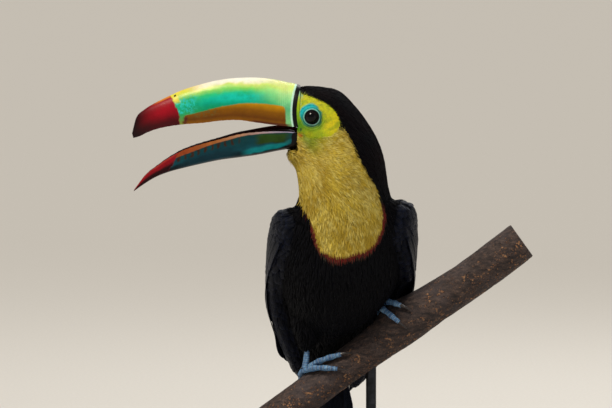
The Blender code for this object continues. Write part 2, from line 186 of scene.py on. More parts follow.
def turned(profile, steps):
    """A solid of revolution about the upright from (radius, height) points, both ends on the axis."""
    bm = bmesh.new()
    spine = [bm.verts.new((r, 0, z)) for r, z in profile]
    edges = [bm.edges.new(pair) for pair in zip(spine, spine[1:])]
    bmesh.ops.spin(
        bm, geom=spine + edges, cent=(0, 0, 0), axis=(0, 0, 1), angle=2 * math.pi,
        steps=steps, use_merge=True,
    )
    bmesh.ops.remove_doubles(bm, verts=bm.verts, dist=0.005 * MM)
    return bm


# Walnut: straight grain 2 to 3 mm wide along the board, open pores about 0.3 mm wide drawn as short
# dark streaks, and varnish that leaves a soft, even gloss.
walnut = finish_named("stained_walnut", Coat_Weight=0.35, Coat_Roughness=0.22)
place = add("TexCoord", out="Object")
grain = drawn_out(place, (40, 420, 420), 6, Roughness=0.62, Distortion=0.6)
pore = add("MapRange", drawn_out(place, (160, 2800, 2800), 2), 0.58, 0.68)
tone = add("ValToRGB", grain, stops=[
    (0.3, "1E1410"), (0.48, "35231A"), (0.62, "4A3122"), (0.75, "2A1B14"),
])
tone = add("Mix", pore, tone, "140D0A")
height = add("Math:SUBTRACT", grain, pore)
surface(tone, height, 0.12 * MM, grain, 0.3, 0.48)

# The disc's outline for a radius of 100 and a height of 18: foot, side, step and round nose
rim = [(0, 0), (96.5, 0), (98.6, 0.5), (99.7, 1.6), (100, 3), (100, 8.2), (99.6, 9.3), (98.6, 9.8)]
rim += [(97.4, 9.9), (97.0, 10.3), (96.9, 11.2)]
rim += [(90.5 + 6.4 * math.cos(a), 11.4 + 6.6 * math.sin(a)) for a in np.linspace(0, math.pi / 2, 9)]
rim += [(60, 18), (0, 18)]
base = turned([(r * (BASE_RADIUS / 100), z * (BASE_HEIGHT / 18)) for r, z in rim], 160)
piece("stand_disc", base, [walnut], "stained_wood", "stand_base", sharp_from=30)


# The stand's rod and collar: ground steel rod 8 mm thick, blackened, in a turned collar that a small
# grub screw holds. The rod runs up into the underside of the branch.

rod_low, rod_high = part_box("stand_rod")
collar_low, collar_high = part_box("stand_collar")
ROD_RADIUS = (rod_high.x - rod_low.x) / 2
COLLAR_RADIUS = (collar_high.x - collar_low.x) / 2

# Blackened steel: an oiled oxide skin, almost black, with draw marks round it every 0.4 mm.
steel = finish_named("blackened_steel", Metallic=1.0)
place = add("TexCoord", out="Object")
drawn = drawn_out(place, (60, 60, 2500), 3)
cloud = add("TexNoise", place, Scale=120, Detail=4)
tone = add("ValToRGB", cloud, stops=[(0.35, "232426"), (0.55, "34363A"), (0.7, "45454A")])
surface(tone, drawn, 0.02 * MM, cloud, 0.28, 0.5)

r, h, chamfer = ROD_RADIUS, rod_high.z, 0.6 * MM
rod = turned([(0, rod_low.z), (r, rod_low.z), (r, h - chamfer), (r - chamfer, h), (0, h)], 48)
bmesh.ops.translate(rod, verts=rod.verts, vec=(ROD_X, 0, 0))
piece("stand_upright", rod, [steel], "blackened_steel", "stand_rod", sharp_from=30)

r, low, high = COLLAR_RADIUS, collar_low.z, collar_high.z
foot, chamfer, bore = 0.3 * MM, 0.9 * MM, 0.5 * MM  # how far the edges at foot, top and bore are broken
ring = turned([
    (0, low), (r - foot, low), (r, low + foot), (r, high - chamfer), (r - chamfer, high),
    (ROD_RADIUS + bore, high), (ROD_RADIUS, high - bore), (0, high - bore),
], 64)
bmesh.ops.translate(ring, verts=ring.verts, vec=(ROD_X, 0, 0))
piece("stand_ring", ring, [steel], "blackened_steel", "stand_collar", sharp_from=25)
screw = turned([(0, 0), (1.5, 0), (1.5, 1.2), (1.3, 1.4), (0.85, 1.4), (0.85, 0.7), (0, 0.7)], 24)
bmesh.ops.scale(screw, verts=screw.verts, vec=(MM, MM, MM))
bmesh.ops.rotate(screw, verts=screw.verts, matrix=Matrix.Rotation(math.pi / 2, 3, "X"))
bmesh.ops.translate(screw, verts=screw.verts, vec=(ROD_X, -r + 1.1 * MM, (low + high) / 2))
piece("stand_grub_screw", screw, [steel], "blackened_steel", sharp_from=30)


# The perch: a cut length of a forest branch about 30 mm thick, with thin bark, a few shallow cracks
# along it, a swelling where a shoot grew, and clean sawn ends.

SLOPE = math.radians(35.7)
PERCH_HEIGHT = 154.3 * MM
PERCH_ENDS = -116 * MM, 172 * MM
PERCH_ALONG = Vector((math.cos(SLOPE), 0, math.sin(SLOPE)))
PERCH_TOP = Vector((-math.sin(SLOPE), 0, math.cos(SLOPE)))
FORWARD = Vector((0, -1, 0))
# Place along the branch, its radius, and how far its middle stands over the straight (all mm)
BRANCH = (
    (-120, 14.6, -1.6), (-60, 14.3, -0.6), (0, 13.9, 0.3), (36, 15.0, 0.6), (58, 17.0, 1.5),
    (80, 16.2, 1.0), (118, 15.2, -0.6), (150, 15.4, -0.4), (176, 15.2, 0.6),
)
SHOOT_PLACE, SHOOT_HALF, SHOOT_RISE = 58 * MM, 15 * MM, 2.6 * MM


def through(knots, at):
    """A smooth curve through rows of (place, values), read at one place or at many."""
    rows = np.array(knots, float)
    x, y = rows[:, 0], rows[:, 1:]
    where = np.clip(np.atleast_1d(np.asarray(at, float)), x[0], x[-1])
    i = np.clip(np.searchsorted(x, where) - 1, 0, len(x) - 2)
    before, after = np.maximum(i - 1, 0), np.minimum(i + 2, len(x) - 1)
    span = (x[i + 1] - x[i])[:, None]
    u = (where - x[i])[:, None] / span
    slope_in = (y[i + 1] - y[before]) / (x[i + 1] - x[before])[:, None] * span
    slope_out = (y[after] - y[i]) / (x[after] - x[i])[:, None] * span
    read = (
        (2 * u**3 - 3 * u**2 + 1) * y[i] + (u**3 - 2 * u**2 + u) * slope_in
        + (3 * u**2 - 2 * u**3) * y[i + 1] + (u**3 - u**2) * slope_out
    )
    return read if np.ndim(at) else read[0]


def perch_axis(along):
    """A point on the branch's middle line."""
    rise = through(BRANCH, along / MM)[1] * MM
    return Vector((0, 0, PERCH_HEIGHT)) + PERCH_ALONG * along + PERCH_TOP * rise


def perch_radius(along, angle=0.0):
    """The branch's radius at an angle from its top towards the front."""
    swell = math.exp(-(((along - SHOOT_PLACE) / SHOOT_HALF) ** 2)) * max(math.cos(angle), 0)
    return through(BRANCH, along / MM)[0] * MM + SHOOT_RISE * swell


def loft(outlines, lay):
    """Extrudes the rim of a first outline through the others and caps both ends; gives the rings too.

    lay gives each point's place on the map named lay; a map that runs round closes at 1.
    """
    bm = bmesh.new()
    rim = [bm.verts.new(p) for p in outlines[0]]
    rings = [rim]
    bm.faces.new(rim)
    for outline in outlines[1:]:
        edges = [bm.edges.get(pair) for pair in zip(rim, rim[1:] + rim[:1])]
        made = bmesh.ops.extrude_edge_only(bm, edges=edges)["geom"]
        new = {v for v in made if isinstance(v, bmesh.types.BMVert)}
        rim = [next(e.other_vert(v) for e in v.link_edges if e.other_vert(v) in new) for v in rim]
        for v, spot in zip(rim, outline):
            v.co = spot
        rings.append(rim)
    bm.faces.new(rim)
    table = {v: lay[k][j] for k, ring in enumerate(rings) for j, v in enumerate(ring)}
    layer = bm.loops.layers.uv.new("lay")
    for face in bm.faces:
        spots = [table[loop.vert] for loop in face.loops]
        wraps = max(s[0] for s in spots) - min(s[0] for s in spots) > 0.5 and len(spots) == 4
        for loop, spot in zip(face.loops, spots):
            loop[layer].uv = (spot[0] + (1 if wraps and spot[0] < 0.5 else 0), spot[1])
    return bm, rings


def bark_relief(along, angle, radius):
    """How far the bark sinks below its round at a place: long cracks, plates and small pits (m)."""
    spot = Vector((along * 55, math.cos(angle) * radius * 210, math.sin(angle) * radius * 210))
    crack = 1 - abs(noise.noise(spot)) * 2
    plates = noise.fractal(spot * 2.3, 1.0, 2.0, 3)
    pit = noise.noise(Vector((along * 520, math.cos(angle) * 7.4, math.sin(angle) * 7.4)))
    return (0.55 * max(crack - 0.72, 0) * 3.2 + 0.16 * plates + 0.5 * max(pit - 0.32, 0) + 0.22) * MM


STEPS, SIDES = 230, 80
outlines, lay = [], []
for k in range(STEPS + 1):
    along = PERCH_ENDS[0] + (PERCH_ENDS[1] - PERCH_ENDS[0]) * k / STEPS
    middle, rim, flat = perch_axis(along), [], []
    for j in range(SIDES):
        angle = 2 * math.pi * j / SIDES
        radius = perch_radius(along, angle)
        edge = min(k, STEPS - k)
        drop = max(bark_relief(along, angle, radius), 0) + (0.5 * MM if edge == 0 else 0)
        rim.append(middle + (PERCH_TOP * math.cos(angle) + FORWARD * math.sin(angle)) * (radius - drop))
        flat.append((j / SIDES, k / STEPS))
    outlines.append(rim)
    lay.append(flat)
branch = loft(outlines, lay)[0]
for face in [f for f in branch.faces if len(f.verts) > 4]:
    face.material_index = 1
    middle = face.calc_center_median()
    layer = branch.loops.layers.uv["lay"]
    for loop in face.loops:
        away = loop.vert.co - middle
        loop[layer].uv = (away.dot(PERCH_TOP) / MM, away.dot(FORWARD) / MM)

# Bark: purplish brown and dull, with tan corky grains 0.6 to 1.5 mm across that crowd along the front
# and underside, darker cracks, and a grey bloom of weathering on top.
bark = finish_named("weathered_bark")
place = add("TexCoord", out="Object")
turnaround = add("UVMap", uv_map="lay")
round_it = add("SeparateXYZ", turnaround)
grain = drawn_out(place, (120, 420, 420), 7, turn=SLOPE, Roughness=0.65)
cloud = add("TexNoise", place, Scale=45, Detail=3)
# These browns are the bark's own colour kept about a third darker, as painted shade
tone = add("ValToRGB", grain, stops=[
    (0.3, "1A1312"), (0.45, "2F2421"), (0.58, "46362F"), (0.72, "604C42"),
])
grey = add("MapRange", cloud, 0.45, 0.7, 0, 0.45)
tone = add("Mix", grey, tone, "4C4345")
ragged = add("TexNoise", place, Scale=1100, Detail=2, out="Color")
bent = add("VectorMath:MULTIPLY_ADD", ragged, (1.1 * MM,) * 3, place)
cork = add("TexVoronoi", bent, Scale=560, Randomness=1.0)
sizes = add("TexNoise", place, Scale=260, Detail=2)
sizes = add("MapRange", sizes, 0.35, 0.65, -0.16, 0.2)
cork = add("Math:SUBTRACT", cork, sizes)
crowd = add("TexNoise", place, Scale=85, Detail=5, Roughness=0.7)
low_side = add("MapRange", round_it, 0.06, 0.22, -0.07, 0.09)
crowd = add("Math:ADD", crowd, low_side)
crowd = add("MapRange", crowd, 0.5, 0.62)
grains = add("MapRange", cork, 0.4, 0.22)
grains = add("Math:MULTIPLY", grains, crowd)
corky = add("ValToRGB", sizes, stops=[(0.0, "5E4030"), (0.1, "865A3A"), (0.2, "9E7450")])
tone = add("Mix", grains, tone, corky)
speck = add("TexNoise", place, Scale=1500, Detail=2)
speck = add("MapRange", speck, 0.35, 0.65, 0.6, 1.25)
tone = add("Mix:MULTIPLY", 1.0, tone, speck)
pits = add("TexVoronoi", bent, Scale=300, Randomness=1.0)
pits = add("MapRange", pits, 0.2, 0.08)
tone = add("Mix", pits, tone, "1A1213")
height = add("Math:ADD", grains, grain)
height = add("Math:SUBTRACT", height, pits)
surface(tone, height, 0.5 * MM, grain, 0.95, 0.7)

# Sawn end: pale heartwood with year rings 1.1 mm apart, and the fuzz of a fine saw.
sawn = finish_named("sawn_end_grain")
across = add("UVMap", uv_map="lay")
wobble = add("TexNoise", across, Scale=0.16, Detail=2)
radius = add("VectorMath:LENGTH", across, out="Value")
radius = add("Math:MULTIPLY_ADD", wobble, 3.0, radius)
rings = add("Math:PINGPONG", radius, 1.1)
fuzz = add("TexNoise", across, Scale=2.2, Detail=4)
shade = add("Math:MULTIPLY_ADD", fuzz, 0.6, rings)
tone = add("ValToRGB", shade, stops=[(0.2, "8E6B45"), (0.6, "B48D60"), (1.0, "C9A677")])
bark_edge = add("MapRange", radius, 14.6, 15.6)
tone = add("Mix", bark_edge, tone, "3A2A24")
surface(tone, shade, 0.15 * MM, fuzz, 0.7, 0.9)
piece("branch", branch, [bark, sawn], "bark", "perch", sharp_from=50)


# The feet: two toes ahead and two behind, with the short bare shank above. The skin is horny and blue,
# in overlapping plates on top and soft pads beneath, and each toe ends in a curved dark claw.

FEET = {"right": (-23.5, 25.0), "left": (54.0, 7.0)}  # place along the branch, drift of the toes
HIPS = {"right": Vector((-25, 7, 207)) * MM, "left": Vector((31, 5, 243)) * MM}
TOE_RADIUS = 2.45 * MM
PLATES = 11.0  # along each toe
CLAW_LENGTH, CLAW_BEND = 9.5 * MM, math.radians(66)
AIR = 0.3 * MM  # between the toes and the bark
# Toe, first and last angle round the branch, root's and tip's place along it (mm), share of the drift
TOES = (
    ("front_inner", 8, 52, 2.5, 6.0, 1.0),
    ("front_outer", 8, 80, -3.0, -3.0, 1.0),
    ("rear_inner", -12, -58, 2.5, 7.0, 0.1),
    ("rear_outer", -12, -74, -3.0, -8.0, -0.2),
)


def tube(points, radius_at, sides):
    """A lofted limb through points that each come with the way that angle 0 faces there.

    radius_at gives the radius for a share of the length and an angle.
    """
    outlines, lay = [], []
    last = len(points) - 1
    for k, (p, outward) in enumerate(points):
        ahead = (points[min(k + 1, last)][0] - points[max(k - 1, 0)][0]).normalized()
        up = (outward - ahead * outward.dot(ahead)).normalized()
        side = ahead.cross(up)
        turns = [2 * math.pi * j / sides for j in range(sides)]
        outlines.append([
            p + (up * math.cos(a) + side * math.sin(a)) * radius_at(k / last, a) for a in turns
        ])
        lay.append([(j / sides, k / last) for j in range(sides)])
    return loft(outlines, lay)[0]


def plated(share, angle, thick):
    """How far the overlapping plates on top and the pads beneath stand out at a place."""
    step = (share * PLATES) % 1.0
    top = max(math.cos(angle), 0) ** 0.6
    pad = max(-math.cos(angle), 0) * abs(math.sin(share * math.pi * 3.5)) ** 0.5
    return thick * (top * (step**1.6) * 0.13 + pad * 0.12)


# Horny skin: slate blue, paler and worn on the plates' edges, dusty grey-violet between them.
foot_skin = finish_named("horny_blue_skin", Specular_IOR_Level=0.45)
place = add("TexCoord", out="Object")
lie = add("UVMap", uv_map="lay")
cells = add("TexVoronoi", place, Scale=1300, Randomness=0.8)
cloud = add("TexNoise", place, Scale=330, Detail=4)
# The blue is kept about a quarter darker than the skin's own, as painted shade
tone = add("ValToRGB", cloud, stops=[
    (0.3, "2C4C74"), (0.47, "44709C"), (0.62, "6796BC"), (0.76, "90AEC6"),
])
split = add("SeparateXYZ", lie)
plate = add("Math:MULTIPLY", split.node.outputs["Y"], PLATES)
plate = add("Math:FRACT", plate)
top = add("Math:PINGPONG", split, 0.5)
top = add("MapRange", top, 0.27, 0.2)
groove = add("MapRange", plate, 0.2, 0.02)
groove = add("Math:MULTIPLY", groove, top)
edge = add("MapRange", plate, 0.72, 0.95, 0, 0.5)
edge = add("Math:MULTIPLY", edge, top)
tone = add("Mix", edge, tone, "A8BECC")
tone = add("Mix", groove, tone, "26344E")
dark = add("MapRange", cells, 0.45, 0.75, 0, 0.55)
tone = add("Mix", dark, tone, "3B4560")
height = add("Math:SUBTRACT", cloud, cells)
surface(tone, height, 0.18 * MM, cells, 0.42, 0.62)

# Claw horn: near-black brown, polished by wear, with fine lines along its length.
claw_horn = finish_named("claw_horn", Coat_Weight=0.3, Coat_Roughness=0.15)
lie = add("UVMap", uv_map="lay")
fibre = drawn_out(lie, (34, 3, 1), 3)
tone = add("ValToRGB", fibre, stops=[(0.3, "120E0D"), (0.55, "2A211E"), (0.75, "4A3B34")])
surface(tone, fibre, 0.05 * MM, fibre, 0.3, 0.42)


def toe_spot(foot_along, angle, shift, lift):
    """A point over the bark, and the direction away from the branch there."""
    along, turn = foot_along + shift, math.radians(angle)
    outward = PERCH_TOP * math.cos(turn) + FORWARD * math.sin(turn)
    return perch_axis(along) + outward * (perch_radius(along, turn) + AIR + lift), outward


for hand, (foot, drift) in FEET.items():
    foot *= MM
    for name, first, last, root, tip, share in TOES:
        spots = []
        for k in range(37):
            u = k / 36
            shift = (root + (tip - root) * u + drift * share * u) * MM
            lift = TOE_RADIUS * 1.16 + 0.5 * MM * math.sin(u * math.pi)
            spots.append(toe_spot(foot, first + (last - first) * u, shift, lift))

        def toe_radius(u, angle):
            ends = min(1, 0.45 + 5 * min(u, 1 - u)) ** 0.7
            knuckle = 1 + 0.11 * math.cos(u * 6 * math.pi)
            return TOE_RADIUS * (1 - 0.22 * u) * knuckle * ends * (0.97 + plated(u, angle, 1))

        toe = tube(spots, toe_radius, 18)
        piece(f"toe_skin_{hand}_{name}", toe, [foot_skin], "foot_blue", f"toe_{hand}_{name}")
        ahead = (spots[-1][0] - spots[-3][0]).normalized()
        outward = (spots[-1][1] - ahead * spots[-1][1].dot(ahead)).normalized()
        start = spots[-1][0] - ahead * 1.2 * MM
        arc, bends = CLAW_LENGTH / CLAW_BEND, []
        for k in range(19):
            bend = (k / 18) * CLAW_BEND
            dip = (1 - math.cos(bend)) * arc * 0.55
            lift = outward * 0.35 * MM * math.sin(k / 18 * math.pi)
            bends.append(
                (start + ahead * math.sin(bend) * (arc + 0.6 * MM) - outward * dip + lift, outward)
            )

        def claw_radius(u, angle):
            return (1.85 - 1.72 * u**0.9) * MM * (0.82 + 0.18 * abs(math.cos(angle)))

        claw = tube(bends, claw_radius, 14)
        piece(f"claw_horn_{hand}_{name}", claw, [claw_horn], "claw_horn", f"claw_{hand}_{name}")
    low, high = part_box(f"shank_{hand}")
    pad = perch_axis(foot) + PERCH_TOP * (perch_radius(foot) + AIR + TOE_RADIUS * 1.3)
    rise = (HIPS[hand] - pad).normalized()
    reach = high.z - pad.z + 7 * MM
    spots = [(pad + rise * (reach * k / 30), FORWARD) for k in range(31)]

    def shank_radius(u, angle):
        flare = 3.3 - 0.9 * min(u * 4, 1) + 0.25 * math.sin(u * 7)
        return flare * MM * (0.94 + plated(u, angle, 1.2))

    shank = tube(spots, shank_radius, 20)
    piece(f"shank_skin_{hand}", shank, [foot_skin], "foot_blue", f"shank_{hand}")


# The skin: one closed hide over head, neck, trunk, wings and thighs, drawn in under the coat. It is bare
# only on the lime-green face and round the eyes, where it folds into rings; elsewhere feathers hide it.

FLESH = ("head", "neck", "trunk", "wing_left", "wing_right", "thigh_left", "thigh_right")
EYES = {"left": "eye_left", "right": "eye_right"}
SKIN_CELL = 1.25 * MM
FUSE = 0.35 * MM  # how far the solids swell to close the cuts between them
eye_at = {hand: (sum(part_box(node), Vector()) / 2) for hand, node in EYES.items()}
EYE_RADIUS = (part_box("eye_left")[1].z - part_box("eye_left")[0].z) / 2
leftward = (eye_at["left"] - eye_at["right"]).normalized()
eye_axis = {"left": leftward, "right": -leftward}

# The body's middle line from the bill's root to the tail's root: place, x, y, z (mm), the line's lean
# towards the front, and the turn of the front away from -Y towards -X (degrees).
BODY_LINE = (
    (0, -36.0, -18, 351.8, 90, 90), (1, -31.4, -18, 350.9, 62, 90), (2, -23.1, -18, 347.2, 53, 90),
    (3, -15.6, -18, 338.8, 44, 90), (4, -10.1, -18, 330.6, 37, 90), (5, -5.3, -18, 320.3, 30, 88),
    (6, -2.4, -17.8, 310.4, 25, 82), (7, -1.0, -17.2, 300.4, 20, 66), (8, -0.7, -15.6, 289.0, 15, 42),
    (9, -0.7, -12.6, 276.5, 13, 18), (10, -0.9, -7.5, 258.0, 15, 2), (11, -1.5, -0.5, 236.5, 19, 0),
    (12, -2.8, 7.0, 215.5, 22, 0), (13, -4.6, 14.6, 197.5, 23, 0), (14, -6.4, 21.6, 181.5, 21, 0),
    (15, -7.8, 27.8, 166.0, 17, 0), (16, -8.2, 32.2, 151.0, 14, 0),
)
AXES = ("centre", "along", "front", "side")


def unit(vectors):
    """The same directions, each of length 1."""
    return vectors / np.maximum(np.linalg.norm(vectors, axis=-1, keepdims=True), 1e-12)


def frames(centre, along, front):
    """A line of frames, evenly numbered from 0: centres, and the directions along, front and side."""
    side = unit(np.cross(along, front))
    reach = np.concatenate([[0], np.cumsum(np.linalg.norm(np.diff(centre, axis=0), axis=1))])
    return {"centre": centre, "along": along, "front": front, "side": side, "reach": reach}


BLOCK = 4000  # points that are measured at a time, so that the lists stay small


def follow(points, line):
    """For each point, its place on a line of frames (0 to 1) and the frame there."""
    places = []
    steps = len(line["centre"]) - 1
    for block in np.array_split(points, max(1, len(points) // BLOCK)):
        away = block[:, None] - line["centre"][None]
        ahead = np.einsum("ijk,jk->ij", away, line["along"])
        k = (np.abs(ahead) + 0.15 * np.linalg.norm(away, axis=2)).argmin(1)
        pitch = np.gradient(line["reach"])[k]
        places.append(k - ahead[np.arange(len(k)), k] / pitch)
    place = np.clip(np.concatenate(places), 0, steps)
    whole = np.minimum(place.astype(int), steps - 1)
    part = (place - whole)[:, None]
    read = {key: line[key][whole] * (1 - part) + line[key][whole + 1] * part for key in AXES}
    return place / steps, read


LAST_PLACE = BODY_LINE[-1][0]
fine = np.linspace(0, LAST_PLACE, 129)
knots = through(BODY_LINE, fine)
lean, turn = np.radians(knots[:, 3:4]), np.radians(knots[:, 4:5])
level = np.hstack([-np.sin(turn), -np.cos(turn), 0 * turn])
upright = np.array([[0, 0, 1.0]])
body_line = frames(
    knots[:, :3] * MM, upright * np.cos(lean) + level * np.sin(lean),
    level * np.cos(lean) - upright * np.sin(lean),
)

# The wing folded from its bend to its tip: share, the middle's place (mm, on the left side, from the
# body's middle line), half the width and half the thickness, and the turn of its flat from +X to +Y.
WING = (
    (0.0, 41.0, -24, 288, 5, 5, -28), (0.06, 45.0, -20, 283, 13, 10, -20),
    (0.18, 46.5, -8, 268, 24, 13, -8), (0.35, 46.5, 11, 246, 28, 13, 8),
    (0.55, 43.5, 30, 216, 25, 12, 26), (0.72, 35.0, 40, 188, 20, 12, 42),
    (0.87, 25.5, 46.5, 162, 15.5, 10.5, 56), (0.96, 19.5, 50, 144, 10, 6.5, 66),
    (1.0, 15.0, 52.5, 133, 3.5, 2.5, 72),
)
RIGHT_DROP = np.array([5.0, 0, -7.0]) * MM  # the right shoulder hangs lower and closer in
WING_SHARES = np.linspace(0, 1, 81)
WING_BESIDE = 9, 15  # the places on the body's line that the wing lies beside


def wing_frames(hand):
    """The folded wing's line with its half width and half thickness; hand is 1 on the left, -1 right."""
    share = WING_SHARES
    x, y, z, width, thick, turn = through(WING, share).T
    turn = np.radians(turn)
    out = unit(np.stack([hand * np.cos(turn), np.sin(turn), 0 * turn + 0.12], 1))
    across = unit(np.stack([-hand * np.sin(turn), np.cos(turn), 0 * turn + 0.28], 1))
    middle = through(BODY_LINE, WING_BESIDE[0] + (WING_BESIDE[1] - WING_BESIDE[0]) * share)[:, 0]
    centre = np.stack([middle + hand * x, y, z], 1) * MM
    if hand < 0:
        centre += RIGHT_DROP * ((1 - share) ** 3)[:, None]
    line = frames(centre, -unit(np.gradient(centre, axis=0)), out)
    line["side"], line["size"] = across, np.stack([width, thick], 1) * MM
    return line


wing_line = {"left": wing_frames(1), "right": wing_frames(-1)}


def smooth(value, low, high):
    """A soft step: 0 at low, 1 at high, and level at both."""
    u = np.clip((value - low) / (high - low), 0, 1)
    return u * u * (3 - 2 * u)


def mottle(points, size, seed=0):
    """A soft, even pattern from 0 to 1 with patches about size across."""
    turns = np.random.default_rng(seed).normal(size=(7, 3))
    turns = unit(turns) * (2 * math.pi / (size * np.linspace(1.2, 2.6, 7)))[:, None]
    waves = np.sin(points @ turns.T + np.arange(7) * 1.7 + 2 * np.sin(points @ turns[::-1].T * 0.7))
    return np.clip(waves.mean(1) * 1.1 + 0.5, 0, 1)


# The yellow bib's outline: place on the body's line, right edge and left edge (degrees from the throat)
BIB = (
    (0, -160, 160), (0.6, -147, 147), (1.6, -138, 138), (2.6, -134, 134), (3.1, -128, 128),
    (4.5, -125, 125), (5.4, -121, 121), (6.3, -112, 115), (7.0, -82, 109), (7.6, -50, 103),
    (8.2, -27, 90), (8.7, -17, 78), (9.1, -19, 67), (9.5, -22, 52), (9.85, -20, 33), (10.05, -6, 2),
)
# The bare face's lower and back edge: degrees from the throat, place on the body's line
FACE = ((57, 0.0), (62, 1.2), (66, 2.2), (76, 2.8), (98, 3.4), (116, 3.4), (134, 2.9), (160, 1.0))
BILL_ROOT = Vector((-36, -18, 356.6)) * MM  # the middle of the bill where it meets the face
GAPE, GAPE_FOLD = (-33.0, 19.4, 339.4), (-33.2, 20.2, 343.6)  # mm, on the left of the head's middle
SPREAD = 0.66 * MM  # along the skin for each degree round the body
NECK_STEP = 9.5 * MM  # along the skin for each place on the line, behind the face
FACE_EDGE = 56  # the bare face's edge under the cheek, in degrees from the throat
RED_BAND = 3.3 * MM
PAINTS = {name: np.array(linear(hex_colour)[:3]) for name, hex_colour in {
    "black": "08080B", "nape": "120A0C", "lemon": "DDC143", "straw": "AD8C1E", "cream": "EAD878",
    "green_face": "4E8C08", "lime_face": "9EC004", "yellow_face": "D9C800", "red": "780910",
    "white": "ECE9DF", "turquoise": "0A8876", "cyan": "0CBCC2", "teal": "05342A", "pale": "9CD8C2",
    "lid": "0C1114", "orange": "CC7E1E", "mouth": "35100F",
}.items()}


def blend(under, over, share):
    """Colours or points moved towards others, by a share for each; a paint goes by its name."""
    under, over = (PAINTS[one] if isinstance(one, str) else one for one in (under, over))
    return under + (over - under) * share[:, None]


def in_mouth(points):
    """Whether points lie between the halves of the bill, at the back of the open mouth."""
    off = (points - np.array(BILL_ROOT)) / MM
    open_back = (-off[:, 0] > -5) & (np.abs(off[:, 1]) < 15.2) & (off[:, 2] < -8) & (off[:, 2] > -19)
    trough = (-off[:, 0] > -3) & (np.abs(off[:, 1]) < 13) & (off[:, 2] <= -19) & (off[:, 2] > -27)
    return open_back | trough


def inside_bib(place, angle):
    """How far inside the yellow bib (m) the skin lies at places on the line and angles from the throat."""
    rows = np.linspace(0, BIB[-1][0], 120)
    right, left = through(BIB, rows).T
    rows = np.interp(rows, fine, body_line["reach"])
    edge = np.concatenate([
        np.stack([left * SPREAD, rows], 1), np.stack([right * SPREAD, rows], 1)[::-1],
    ])
    spot = np.stack([angle * SPREAD, np.interp(place, fine, body_line["reach"])], 1)
    near = np.full(len(place), 1.0)
    for a, b in zip(edge, edge[1:]):
        run = b - a
        share = np.clip(((spot - a) @ run) / (run @ run), 0, 1)
        near = np.minimum(near, np.linalg.norm(spot - a - share[:, None] * run, axis=1))
    first, last = through(BIB, place).T
    return np.where((angle > first) & (angle < last) & (place < BIB[-1][0]), near, -near)


def body_colours(points, place, angle, bib, face):
    """Black with a dark red nape and the red band, the bib, the bare face, the white rump and red vent."""
    soft, fine_spots = mottle(points, 16 * MM, 1), mottle(points, 4 * MM, 2)
    reach, turn = np.interp(place, fine, body_line["reach"]), np.abs(angle)
    strands = mottle(np.stack([angle * SPREAD, reach * 0.16, reach * 0], 1), 2.6 * MM, 3)
    colour = blend("black", "nape", smooth(turn, 100, 150) * smooth(9.5 - place, 0, 3) * soft)
    band = smooth(-bib, RED_BAND, RED_BAND * 0.7) * (bib < 0) * smooth(place, 8.3, 9.2)
    colour = blend(colour, "red", band * 0.95)

    yellow = blend("lemon", "straw", 0.75 * (1 - soft))
    yellow = blend(yellow, "cream", smooth(fine_spots, 0.55, 0.9) * 0.6)
    yellow = blend(yellow, "straw", smooth(bib, 5 * MM, 0.5 * MM) * 0.5)
    yellow = blend(yellow, "cream", smooth(strands, 0.5, 0.85) * 0.45)
    yellow = blend(yellow, "straw", smooth(strands, 0.5, 0.2) * 0.4)
    olive = blend("green_face", "lime_face", smooth(turn, 55, 110))
    yellow = blend(yellow, olive, smooth(turn, 46, 64) * smooth(place, 4.4, 2.2) * 0.7)
    colour = blend(colour, yellow, smooth(bib, -0.4 * MM, 0.4 * MM))

    upper, back = smooth(turn, 84, 128), smooth(place, 0.9, 2.3)
    # The face is dark green low down and yellow above and behind; the dark green low down is partly the
    # face's own colour and partly painted shade
    lime = blend("green_face", "lime_face", smooth(turn, 74, 108))
    lime = blend(lime, "yellow_face", np.clip(upper * 0.75 + back * 0.55, 0, 1) * (0.55 + 0.45 * soft))
    lime = blend(lime, "green_face", smooth(fine_spots, 0.6, 0.95) * 0.4)
    # Painted highlight: a pale strip on the face's side just behind the bill's rim
    lime = blend(lime, "pale", smooth(place, 0.36, 0.12) * smooth(turn, 84, 112) * 0.7)
    colour = blend(colour, lime, smooth(face, -1.0 * MM, 1.5 * MM))
    colour = blend(colour, "white", smooth(place, 13.2, 13.8) * smooth(turn, 118, 126))
    vent = smooth(place, 14.6, 15.2) * smooth(turn, 78, 62) * smooth(points[:, 2], 161 * MM, 156 * MM)
    colour = blend(colour, "red", vent)
    for across in (-1, 1):
        for tone, size, spot in (("teal", 1.5, GAPE_FOLD), ("orange", 2.6, GAPE)):
            spot = np.array([spot[0], spot[1] * across - 18, spot[2]]) * MM
            far = np.linalg.norm(points - spot, axis=1) / MM
            colour = blend(colour, tone, smooth(far, size, size * 0.5) * 0.85)
    return colour


